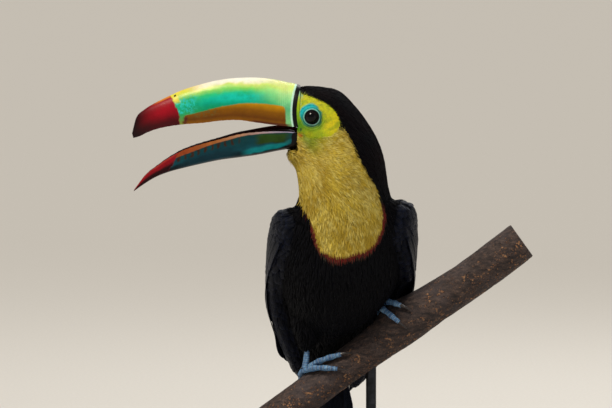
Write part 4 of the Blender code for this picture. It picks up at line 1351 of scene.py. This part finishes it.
def arched(ring, across, way, height):
    """Rows of points from edge to edge; a row that sags below its edges is drawn as an arch instead."""
    across = np.array(across)
    first, last = ring[:, :1], ring[:, -1:]
    straight = first + (last - first) * ((across + 1) / 2)[None, :, None]
    sags = ((ring - straight) * way[:, None]).sum(2).mean(1) < height * 0.25
    arch = straight + way[:, None] * (height[:, None] * (1 - across**2))[:, :, None]
    return np.where(sags[:, None, None], arch, ring)


ROOT_SINK = 0.3 * MM  # how deep a blade's root sits in the skin


def lay_vanes(root, out, lie, length, width, depth, rows, shape, across=(-1, 0, 1), camber=0.3, hug=False):
    """Closed blades that follow the skin: for each, rows of points over its top from edge to edge.

    rows are shares of the length and shape the width at each; depth is how far the tip stands off.
    """
    spot, facing, ahead = root.copy(), out.copy(), lie.copy()
    ahead = unit(ahead - facing * (ahead * facing).sum(1)[:, None])
    made = []
    for k, share in enumerate(rows):
        if k:
            moved = spot + ahead * (length * (share - rows[k - 1]))[:, None]
            spot, facing = settle(moved, facing, out)
            ahead = unit(ahead - facing * (ahead * facing).sum(1)[:, None])
        side = np.cross(facing, ahead)
        half = width / 2 * shape[k]
        lift = -ROOT_SINK + (depth + ROOT_SINK) * share**0.8
        ring = []
        for a in across:
            point, way = spot + side * (half * a)[:, None], facing
            if hug and a:
                point, way = settle(point, facing, out)
            ring.append(point + way * (lift + camber * half * (1 - a * a))[:, None])
        ring = np.stack(ring, 1)
        made.append(arched(ring, across, facing, camber * half) if hug else ring)
    return clear_of_branch(np.stack(made, 1))


PATCH = 0.003  # each tuft's patch on the bake's map


def joined_vanes(name, blades, dye, spots, rows, finish, slot, *nodes):
    """Joins blades into one mesh with the map named vane, the bake's map, and each blade's colour.

    dye is a paint's name or a colour for each blade; spots are the blades' places on the bake's map.
    """
    count, levels, sides = blades.shape[:3]
    ring, level = np.arange(sides), np.arange(levels - 1)[:, None] * sides
    a, b = (level + ring).ravel(), (level + (ring + 1) % sides).ravel()
    quads = np.stack([a, a + sides, b + sides, b], 1)
    start = np.arange(count)[:, None] * levels * sides
    quads = (start[:, :, None] + quads[None]).reshape(-1)
    caps = np.concatenate([start + ring, start + (levels - 1) * sides + ring[::-1]], 1).reshape(-1)
    corner = np.concatenate([quads, caps])
    first = np.concatenate([np.arange(0, len(quads), 4), len(quads) + np.arange(0, len(caps), sides)])
    mesh = bpy.data.meshes.new(name)
    mesh.vertices.add(count * levels * sides)
    mesh.vertices.foreach_set("co", blades.astype(np.float32).ravel())
    mesh.loops.add(len(corner))
    mesh.loops.foreach_set("vertex_index", corner.astype(np.int32))
    mesh.polygons.add(len(first))
    mesh.polygons.foreach_set("loop_start", first.astype(np.int32))
    mesh.update(calc_edges=True)
    mesh.validate()
    mesh.shade_smooth()
    u = np.tile(np.linspace(0, 1, sides), count * levels)
    v = np.tile(np.repeat(rows, sides), count)
    vane = mesh.uv_layers.new(name="vane")
    vane.uv.foreach_set("vector", np.stack([u, v], 1)[corner].astype(np.float32).ravel())
    low, high = spots.min(0), spots.max(0)
    place = np.repeat(0.01 + 0.98 * (spots - low) / (high - low), levels * sides, 0)
    patch = place + PATCH * (np.stack([u, v], 1) - 0.5)
    bake = mesh.uv_layers.new(name="OFBake")
    bake.uv.foreach_set("vector", patch[corner].astype(np.float32).ravel())
    colours = np.tile(PAINTS[dye], (count, 1)) if isinstance(dye, str) else dye
    dyed = np.repeat(np.hstack([colours, draw.random((count, 1))]), levels * sides, 0)
    plume = mesh.color_attributes.new("plume", "FLOAT_COLOR", "POINT")
    plume.data.foreach_set("color", dyed.astype(np.float32).ravel())
    piece(name, mesh, [finish], slot, *nodes)


def vane_measures():
    """On a feather: its colour, its own chance number, its map, and the place along the map."""
    dye = add("Attribute", attribute_name="plume")
    parts = add("SeparateXYZ", add("UVMap", uv_map="vane"))
    return dye, dye.node.outputs["Alpha"], parts, parts.node.outputs["Y"]


def plumage(name, root_tone, tip_tone, streak, low, high, **sockets):
    """Feather vane: the plume's colour, darker at the root, with barbs that slant from the shaft."""
    made = finish_named(name, **sockets)
    dye, chance, parts, along = vane_measures()
    rise = add("MapRange", along, 0.1, 0.9, root_tone, tip_tone)
    luck = add("MapRange", chance, 0, 1, 1 - streak, 1 + streak)
    rise = add("Math:MULTIPLY", rise, luck)
    move = add("Math:MULTIPLY_ADD", chance, 37.0, along)
    spot = add("CombineXYZ", parts, move, chance)
    barbs = drawn_out(spot, (7, 1.6, 9), 3)
    fleck = add("MapRange", barbs, 0.3, 0.7, 1 - streak, 1 + streak)
    rise = add("Math:MULTIPLY", rise, fleck)
    tone = add("Mix:MULTIPLY", 1.0, dye, rise)
    surface(tone, barbs, 0.12 * MM, barbs, low, high)
    return made


# Throat and bib: long soft barbs without hooks, so that each plume is a silky strand; straw yellow at
# the root, pale lemon at the tip, with a sheen like floss.
silk = plumage(
    "silky_bib_plume", 0.86, 1.06, 0.08, 0.5, 0.7, Specular_IOR_Level=0.25, Sheen_Weight=0.15,
    Sheen_Roughness=0.4, Sheen_Tint=linear("F0DC8C"),
)
# Black body plumage: dense melanin, dull and velvety, with a faint blue-violet bloom.
velvet = plumage(
    "velvet_black_plume", 0.75, 1.2, 0.25, 0.5, 0.75, Specular_IOR_Level=0.07, Sheen_Weight=0.015,
    Sheen_Roughness=0.4, Sheen_Tint=linear("4A5A96"),
)

BLADE_ROWS, BLADE_SHAPE = (0.0, 0.25, 0.5, 0.78, 1.0), (0.5, 0.95, 1.0, 0.72, 0.06)
CHIN_RISE = 2.0 * MM  # how much further the plumes stand off under the bill
# How far the bib's plumes turn towards the nape: angle from the throat and turn (degrees)
FAN = ((0, 0), (30, 14), (60, 34), (85, 46), (125, 46), (180, 36))
PLUME_LENGTH = ((0, 4.5), (2, 7), (4, 9.5), (8, 12.5), (12, 14.5), (16, 15))  # mm, by place


def plume_lie(points, out, bib, place, angle):
    """The way that plumes lie: tailwards, fanned from the throat to the nape on the yellow bib."""
    at = follow(points, body_line)[1]
    turned = np.radians(angle)[:, None]
    to_nape = (at["side"] * np.cos(turned) - at["front"] * np.sin(turned)) * np.sign(angle)[:, None]
    share = np.interp(place, (1.2, 2.6, 4.5, 7, 9), (0.6, 1.1, 0.8, 0.45, 0.0)) * smooth(bib, 0, 9 * MM)
    turn = np.radians(through(FAN, np.abs(angle))[:, 0] * share)[:, None]
    lie = to_nape * np.sin(turn) - at["along"] * np.cos(turn)
    return unit(lie - out * (lie * out).sum(1)[:, None])


def plume_tips(points, out, bib, place, angle):
    """Where the visible end of a plume rooted at each point lies, which settles its colour."""
    reach = through(PLUME_LENGTH, place) * 0.72 * MM
    return points + plume_lie(points, out, bib, place, angle) * reach


def swirled(lie, out, points, swirl, scatter):
    """A lie turned about the way out by a slow swirl and a little chance (degrees)."""
    slow = (mottle(points, 13 * MM, 5) - 0.5) * 2 * swirl
    turn = np.radians(slow + draw.normal(size=len(points)) * scatter)
    flat = unit(lie - out * (lie * out).sum(1)[:, None])
    return flat * np.cos(turn)[:, None] + np.cross(out, flat) * np.sin(turn)[:, None]


_, tip_bib, _, tip_place, _ = markings(plume_tips(skin_co, skin_out, skin_bib, skin_place, skin_angle))
corners_of_bill, faces_of_bill = [], []
for node in ("bill_upper", "bill_lower"):
    solid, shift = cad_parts[node].data, len(corners_of_bill)
    faces_of_bill += [tuple(i + shift for i in face.vertices) for face in solid.polygons]
    corners_of_bill += [v.co[:] for v in solid.vertices]
bill_root = BVHTree.FromPolygons(corners_of_bill, faces_of_bill)
on_cap = np.array([bill_root.find_nearest(p, 0.9 * MM)[0] is not None for p in skin_co.tolist()])
on_cap[list(tucked)] = True
off = (skin_co - np.array(BILL_ROOT)) / MM
under_horn = (-off[:, 0] > -1) & (np.abs(off[:, 1]) < 18) & (off[:, 2] < -8) & (off[:, 2] > -30)
on_cap[in_mouth(skin_co) | under_horn] = True
plain = ((skin_over == 0) | (skin_over == 3)) & ~on_cap
gape_off = np.abs(skin_co - (np.array([0, -18, 0]) * MM)) - np.array([-GAPE[0], GAPE[1], GAPE[2]]) * MM
feathered = (skin_bare < 0.8 * MM) & (np.linalg.norm(gape_off, axis=1) > 2.6 * MM)
in_bib = (tip_bib > -RED_BAND) & ((tip_bib > 0) | (tip_place > 8.3)) & plain & feathered
dark = plain & ~in_bib & feathered
thighs = dark & (skin_over == 3)
dark = dark & (skin_over == 0)


LAST_ROOT = 165 * MM  # below this height the skin's end, under the tail coverts, stays bare


def coat(name, wanted, gap, wide, depth, finish, slot, swirl, scatter, long=1.0):
    """Covers the wanted part of the skin with blades; wide and depth (mm) go by the place.

    gap is the distance between roots (mm), and swirl and scatter turn the blades (degrees).
    """
    root, out = rooted(wanted.astype(float), gap * MM)
    end = (np.abs((out * follow(root, body_line)[1]["along"]).sum(1)) > 0.6) & (root[:, 2] < LAST_ROOT)
    root, out = root[~end], out[~end]
    _, bib, bare, place, angle = markings(root)
    shown = np.where((place > 14.4)[:, None], root, plume_tips(root, out, bib, place, angle))
    colours, shown_bib = markings(shown)[:2]
    lie = swirled(plume_lie(root, out, bib, place, angle), out, root, swirl, scatter)
    luck = draw.uniform(0.85, 1.15, len(root))
    near_face = np.clip(3.0 - bare / MM * 0.55, 2.5, 99) * MM
    length = np.minimum(through(PLUME_LENGTH, place)[:, 0] * MM * luck * long, near_face)
    length = length * (0.6 + 0.4 * smooth(np.abs(bib), 0, 7 * MM))
    length = length * (0.7 + 0.3 * smooth(np.abs(shown_bib), 0, 4 * MM))
    width, stand = (through(table, place)[:, 0] * MM * luck for table in (wide, depth))
    stand = stand + CHIN_RISE * smooth(np.abs(angle), 62, 30) * smooth(place, 2.8, 1.2)
    if finish is velvet:
        stand = stand * (1 - 0.65 * smooth(bib, -9 * MM, 3 * MM) * smooth(place, 7.8, 8.6))
    blades = lay_vanes(root, out, lie, length, width, stand, BLADE_ROWS, BLADE_SHAPE)
    spots = np.stack([angle, place], 1)
    joined_vanes(name, blades, colours, spots, BLADE_ROWS, finish, slot)


coat("throat_plumes", in_bib & (skin_place < 5.2), 0.57, ((0, 0.68), (5.2, 0.85)), ((0, 0.45), (5, 0.75)),
     silk, "yellow_plumage", 5, 3)
coat("bib_plumes", in_bib & (skin_place >= 5.2), 0.63, ((5, 0.85), (10, 1.05)), ((5, 0.75), (10, 1.2)),
     silk, "yellow_plumage", 5, 3)
coat("crown_and_nape_plumes", dark & (skin_place < 8.2), 0.88, ((0, 0.9), (2, 1.15), (8, 1.8)),
     ((0, 0.7), (2, 1.0), (8, 2.0)), velvet, "black_plumage", 5, 4)
BODY_WIDE, BODY_DEEP = ((8, 1.9), (12, 2.4), (16, 2.7)), ((8, 2.0), (11, 2.4), (14, 2.4), (16, 1.6))
body, front = dark & (skin_place >= 8.2), np.abs(skin_angle) < 92
coat("breast_and_belly_plumes", body & front, 1.15, BODY_WIDE, BODY_DEEP, velvet, "black_plumage", 8, 7)
coat("thigh_plumes", thighs, 1.0, ((8, 1.5), (16, 1.5)), ((8, 1.2), (16, 1.2)), velvet, "black_plumage",
     6, 5, 0.5)
coat("back_and_rump_plumes", body & ~front, 1.15, BODY_WIDE, BODY_DEEP, velvet, "black_plumage", 6, 5)


# The wings: overlapping coverts in scalloped rows from the bend, then secondaries and primaries, stiff
# and glossy, stacked like a closed fan with each shaft showing.

VANE_ROWS = (0.0, 0.16, 0.36, 0.58, 0.76, 0.9, 0.97, 1.0)
VANE_SHAPE = (0.35, 0.72, 0.93, 1.0, 0.95, 0.72, 0.42, 0.08)
VANE_ACROSS = (-1, -0.55, 0, 0.55, 1)
QUILL_ROWS = tuple(np.linspace(0, 0.9, 19)) + (0.94, 0.97, 0.99, 1.0)
QUILL_ACROSS = np.array([-1, -0.7, -0.4, -0.1, 0, 0.1, 0.4, 0.7, 1])
QUILL_CROWN, SHAFT_RISE = 0.5 * MM, 0.22 * MM  # how far a feather's middle and its shaft stand up
STACK_HALF = 7.5 * MM  # half the width of the stack of feathers past the wing's tip


def quill_shape(share):
    """Half a flight feather's width along its length: quick to widen, parallel, then a round tip."""
    return min(1, 0.45 + 2.2 * share) * math.sqrt(max(1 - max((share - 0.86) / 0.14, 0) ** 2.2, 0.004))


def quill_row(line, hand_sign, along, across, half, lift):
    """A folded flight feather's points from edge to edge, at a share along the wing and one across it.

    They follow the skin, and towards the wing's tip they go over to a stack on the wing's own line.
    """
    read = {
        key: np.array([np.interp(along, WING_SHARES, line[key][:, n]) for n in range(3)]) for key in AXES
    }
    w, t = (np.interp(along, WING_SHARES, line["size"][:, n]) for n in (0, 1))
    out = unit(read["front"] * math.sqrt(1 - across * across * 0.9) * w / t + read["side"] * across)
    over = t * math.sqrt(1 - across * across * 0.85) * 0.85
    middle = read["centre"] + read["side"] * across * w * 0.93 + read["front"] * over
    points = np.array([middle + np.cross(out, -read["along"]) * half * a for a in QUILL_ACROSS])
    outward = np.tile(out, (len(points), 1))
    points, ways = settle(points, outward, outward)
    crown = QUILL_CROWN * (1 - QUILL_ACROSS**2) + SHAFT_RISE * (QUILL_ACROSS == 0)
    points = points + ways * (lift + crown)[:, None]
    points = arched(points[None], QUILL_ACROSS, out[None], np.array([QUILL_CROWN]))[0]
    spread = across * max(w, STACK_HALF) + half * QUILL_ACROSS * hand_sign
    bulge = t * (1.0 - 0.4 * np.minimum((spread / w) ** 2, 1.4))
    stack = read["centre"] + read["side"] * spread[:, None]
    stack = stack + read["front"] * (bulge + lift + crown)[:, None]
    stack = stack - read["along"] * max(along - 1, 0) * line["reach"][-1]
    return blend(points, stack, np.full(len(points), float(smooth(along, 0.74, 0.86))))


# Wing plumage: glossier than the body, black with a navy sheen painted on each feather's rim as a
# highlight.
glossed = finish_named(
    "glossy_wing_vane", Specular_IOR_Level=0.22, Specular_Tint=linear("B0BEE4"), Sheen_Weight=0.03,
    Sheen_Roughness=0.3, Sheen_Tint=linear("5A72B8"),
)
dye, chance, parts, along = vane_measures()
half = add("Math:SUBTRACT", parts, 0.5)
half = add("Math:ABSOLUTE", half)
slant = add("Math:MULTIPLY_ADD", half, -0.9, along)
barbs = add("Math:PINGPONG", slant, 0.011)
barbs = add("Math:MULTIPLY", barbs, 90.0)
spot = add("CombineXYZ", parts, slant, add("Math:MULTIPLY", chance, 50.0))
uneven = drawn_out(spot, (3, 14, 1), 4)
side_rim = add("MapRange", half, 0.3, 0.5)
end_rim = add("MapRange", along, 0.72, 0.98)
# Painted sheen: navy glazed over each feather's side and end rims
painted_rim_sheen = add("Math:MAXIMUM", side_rim, end_rim)
painted_rim_sheen = add("Math:MULTIPLY", painted_rim_sheen, uneven)
shaft = add("MapRange", half, 0.05, 0.02)
tone = layered(dye, [
    ("141C36", add("Math:MULTIPLY", painted_rim_sheen, 0.9)), ("1A1614", add("Math:MULTIPLY", shaft, 0.6)),
])
relief = add("Math:MULTIPLY_ADD", barbs, 0.5, uneven)
relief = add("Math:MULTIPLY_ADD", shaft, 1.0, relief)
surface(tone, relief, 0.12 * MM, uneven, 0.3, 0.5)

for number, hand, hand_sign in ((1, "left", 1), (2, "right", -1)):
    line = wing_line[hand]
    mine = (skin_over == number).astype(float)
    blades, spots = [], []
    # Bands of coverts: first and last share along the wing, gap, length, width and standing depth (mm)
    for low, high, gap, long, wide, stand in (
        (0.0, 0.2, 3.1, 8.5, 6.0, 1.1), (0.2, 0.36, 4.2, 12.5, 8.2, 1.5), (0.36, 1.0, 3.8, 17, 7.0, 0.8),
    ):
        band = mine * (wing_share[hand] >= low) * (wing_share[hand] < high)
        root, out = rooted(band, gap * MM)
        share, at = follow(root, line)
        inner = ((out * at["front"]).sum(1) < 0.8) | ((out * at["side"]).sum(1) < -0.3)
        side_on = (share < 0.42) | (inner & (share < 0.97) & (np.abs((out * at["along"]).sum(1)) < 0.6))
        root, out, share, at = (
            root[side_on], out[side_on], share[side_on], {key: at[key][side_on] for key in at},
        )
        lie = swirled(-at["along"], out, root, 3, 4)
        luck = draw.uniform(0.92, 1.08, len(root))
        length = long * MM * luck * (1 - 0.5 * smooth(share, 0.7, 0.86))
        blades.append(lay_vanes(
            root, out, lie, length, wide * MM * luck, stand * MM * luck, VANE_ROWS, VANE_SHAPE,
            VANE_ACROSS, 0.16, hug=True,
        ))
        offset = ((root - at["centre"]) * at["side"]).sum(1)
        spots.append(np.stack([offset, share], 1))
    blades, spots = np.concatenate(blades), np.concatenate(spots)
    joined_vanes(f"wing_coverts_{hand}", blades, "black", spots, VANE_ROWS, glossed, "black_plumage")

    # Each row of long feathers: how many, first and last place across (1 is the back edge) at root and
    # tip, first and last share along the wing at root and tip, width and the first one's lift (mm)
    quills = []
    for count, root_across, tip_across, root_share, tip_share, wide, layer in (
        (9, (-0.92, 0.5), (-0.84, 0.55), (0.5, 0.56), (0.88, 1.05), 8.5, 0.3),
        (10, (-0.8, 0.8), (-0.62, 0.55), (0.34, 0.4), (0.72, 0.88), 11.5, 0.6),
        (13, (-0.88, 0.88), (-0.86, 0.84), (0.2, 0.22), (0.4, 0.48), 7.6, 1.0),
    ):
        for i in range(count):
            u = i / (count - 1)
            mix = [a + (b - a) * u for a, b in (root_across, tip_across, root_share, tip_share)]
            rows = []
            for share in QUILL_ROWS:
                across, along = (mix[n] + (mix[n + 1] - mix[n]) * share for n in (0, 2))
                half = wide / 2 * quill_shape(share) * MM
                lift = (layer + 0.04 * i + 0.16 * (i % 2)) * MM * min(1, 0.2 + share * 3)
                rows.append(quill_row(line, hand_sign, along, across, half, lift))
            quills.append(np.stack(rows))
    quills = clear_of_branch(np.stack(quills))
    nth = np.arange(len(quills))
    spots = np.stack([nth % 10, nth // 10 + 0.5 * (nth % 2)], 1)
    joined_vanes(f"flight_feathers_{hand}", quills, "black", spots, QUILL_ROWS, glossed, "black_plumage")


# The tail: ten long, broad, blunt feathers, the middle pair on top and longest, fanned only a little.

TAIL_LENGTH, TAIL_FEATHER, TAIL_SPREAD = 124 * MM, 15.5 * MM, 15.2 * MM
TAIL_LEAN = math.radians(12.5)
downward = np.array([0, math.sin(TAIL_LEAN), -math.cos(TAIL_LEAN)])
backward = np.array([0, math.cos(TAIL_LEAN), math.sin(TAIL_LEAN)])
tail_root = body_line["centre"][-1]


def tail_row(reach, across, half, spread, rise, face_side=1):
    """A tail feather's points from edge to edge; face_side is 1 on the tail's back and -1 beneath."""
    return [
        tail_root + downward * reach + backward * face_side * up
        + np.array([across + half * a * face_side, 0, 0])
        for a, up in zip(spread, rise)
    ][::-1]


feathers = []
for i in range(10):
    offset = (i - 4.5) / 4.5
    long = TAIL_LENGTH * (1 - 0.06 * abs(offset) ** 2)
    rows = []
    for share in QUILL_ROWS:
        across = offset * TAIL_SPREAD * (0.42 + 0.58 * share)
        half = TAIL_FEATHER / 2 * quill_shape(share)
        lift = (2.0 - 3.4 * abs(offset) + 0.16 * math.copysign(1, offset)) * MM * (1 - 0.35 * share)
        bow = -1.6 * MM * math.sin(share * math.pi) * 0.4
        shaft = 0.3 * MM * (1 - 0.7 * share) * (QUILL_ACROSS == 0)
        crown = 0.55 * MM * (1 - QUILL_ACROSS**2) + shaft
        rows.append(tail_row(long * share, across, half, QUILL_ACROSS, lift + crown + bow))
    feathers.append(rows)
spots = np.stack([np.arange(10.0), np.arange(10) % 2], 1)
joined_vanes(
    "tail_feathers", np.array(feathers), "black", spots, QUILL_ROWS, glossed, "black_plumage", "tail",
)

# Tail coverts: name, colour, which side of the tail (1 back), length and width (mm), how many in each
# of the overlapping rows, and how far over the tail's root the rows start (mm)
for name, paint, face_side, long, wide, counts, starts in (
    ("upper_tail_coverts", "white", 1, 25, 6.0, (7, 8, 7), (10, 6, 1)),
    ("under_tail_coverts", "red", -1, 16, 6.5, (6, 7, 6), (10, 8.5, 7)),
):
    coverts = []
    for row, (count, start) in enumerate(zip(counts, starts)):
        for i in range(count):
            offset = (i - (count - 1) / 2) / ((count - 1) / 2)
            luck = draw.uniform(0.9, 1.1)
            rows = []
            for share, broad in zip(VANE_ROWS, VANE_SHAPE):
                reach = (long * luck * share - start) * MM
                across = offset * (10.5 + 0.5 * share) * MM
                lift = (4.6 - 3.0 * abs(offset) ** 2 - 0.35 * row) * (1 - 0.45 * share) * MM
                rise = [lift + 0.5 * MM * (1 - a * a) for a in VANE_ACROSS]
                rows.append(tail_row(reach, across, wide / 2 * broad * MM, VANE_ACROSS, rise, face_side))
            coverts.append(rows)
    spots = np.stack([np.arange(len(coverts)) % 7.0, np.arange(len(coverts)) // 7], 1)
    joined_vanes(name, np.array(coverts), paint, spots, VANE_ROWS, silk, "black_plumage")


# The floor, the lights and the camera: a plain pale sweep, a broad soft key from the upper left, a weak
# fill and a light behind for the outline.

FLOOR_HALF = 60
sweep = bmesh.new()
bmesh.ops.create_grid(sweep, x_segments=1, y_segments=1, size=FLOOR_HALF)
floor = bpy.data.meshes.new("floor")
sweep.to_mesh(floor)
sweep.free()
floor = placed("floor", floor)
# Floor paper: matt and warm grey, with a faint tooth.
paper = finish_named("pale_paper", Roughness=0.9, Specular_IOR_Level=0.2)
place = add("TexCoord", out="Object")
tooth = add("TexNoise", place, Scale=300, Detail=3)
tone = add("ValToRGB", tooth, stops=[(0.3, "CBC8C2"), (0.7, "D0CDC7")])
surface(tone)
floor.data.materials.append(paper)
floor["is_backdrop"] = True

world = bpy.data.worlds.new("studio")
bpy.context.scene.world = world
world.use_nodes = True
sky = world.node_tree.nodes["Background"]
sky.inputs["Color"].default_value = linear("E4E6EA")
sky.inputs["Strength"].default_value = 0.32

# The key is a broad far lamp; each lamp's place, what kind it is, its strength and its colour
bird_at = Vector((-0.03, -0.01, 0.29))
for name, kind, spot, power, tint in (
    ("key", "SUN", (-0.8, -0.95, 2.05), 2.6, "FFF6E8"),
    ("fill", "AREA", (1.6, -1.4, 0.6), 2.5, "E8F0FF"),
    ("rim", "AREA", (0.5, 1.1, 1.5), 12, "FFFFFF"),
):
    lamp = bpy.data.lights.new(name, kind)
    lamp.energy, lamp.color = power, linear(tint)[:3]
    if kind == "SUN":
        lamp.angle = math.radians(16)
    else:
        lamp.size = 1.1
    made = placed(name, lamp)
    made.location = spot
    made.rotation_euler = (bird_at - Vector(spot)).to_track_quat("-Z", "Y").to_euler()

VIEW_WIDTH, VIEW_DISTANCE, VIEW_RISE = 0.477, 3.0, math.radians(4)
SENSOR = 36  # the camera's sensor is this wide, in mm
aim = Vector((-0.0289, 0, 0.2835))
lens = bpy.data.cameras.new("camera")
lens.sensor_width = SENSOR
lens.lens = SENSOR * VIEW_DISTANCE / VIEW_WIDTH
lens.clip_end = 200
camera = placed("camera", lens)
back = Vector((0, -math.cos(VIEW_RISE), math.sin(VIEW_RISE)))
camera.location = aim + back * VIEW_DISTANCE
camera.rotation_euler = (-back).to_track_quat("-Z", "Y").to_euler()
bpy.context.scene.camera = camera
bpy.context.scene.view_settings.view_transform = "Standard"

low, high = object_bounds()
{"cad": [list(cad_low), list(cad_high)], "visual": [list(low), list(high)]}
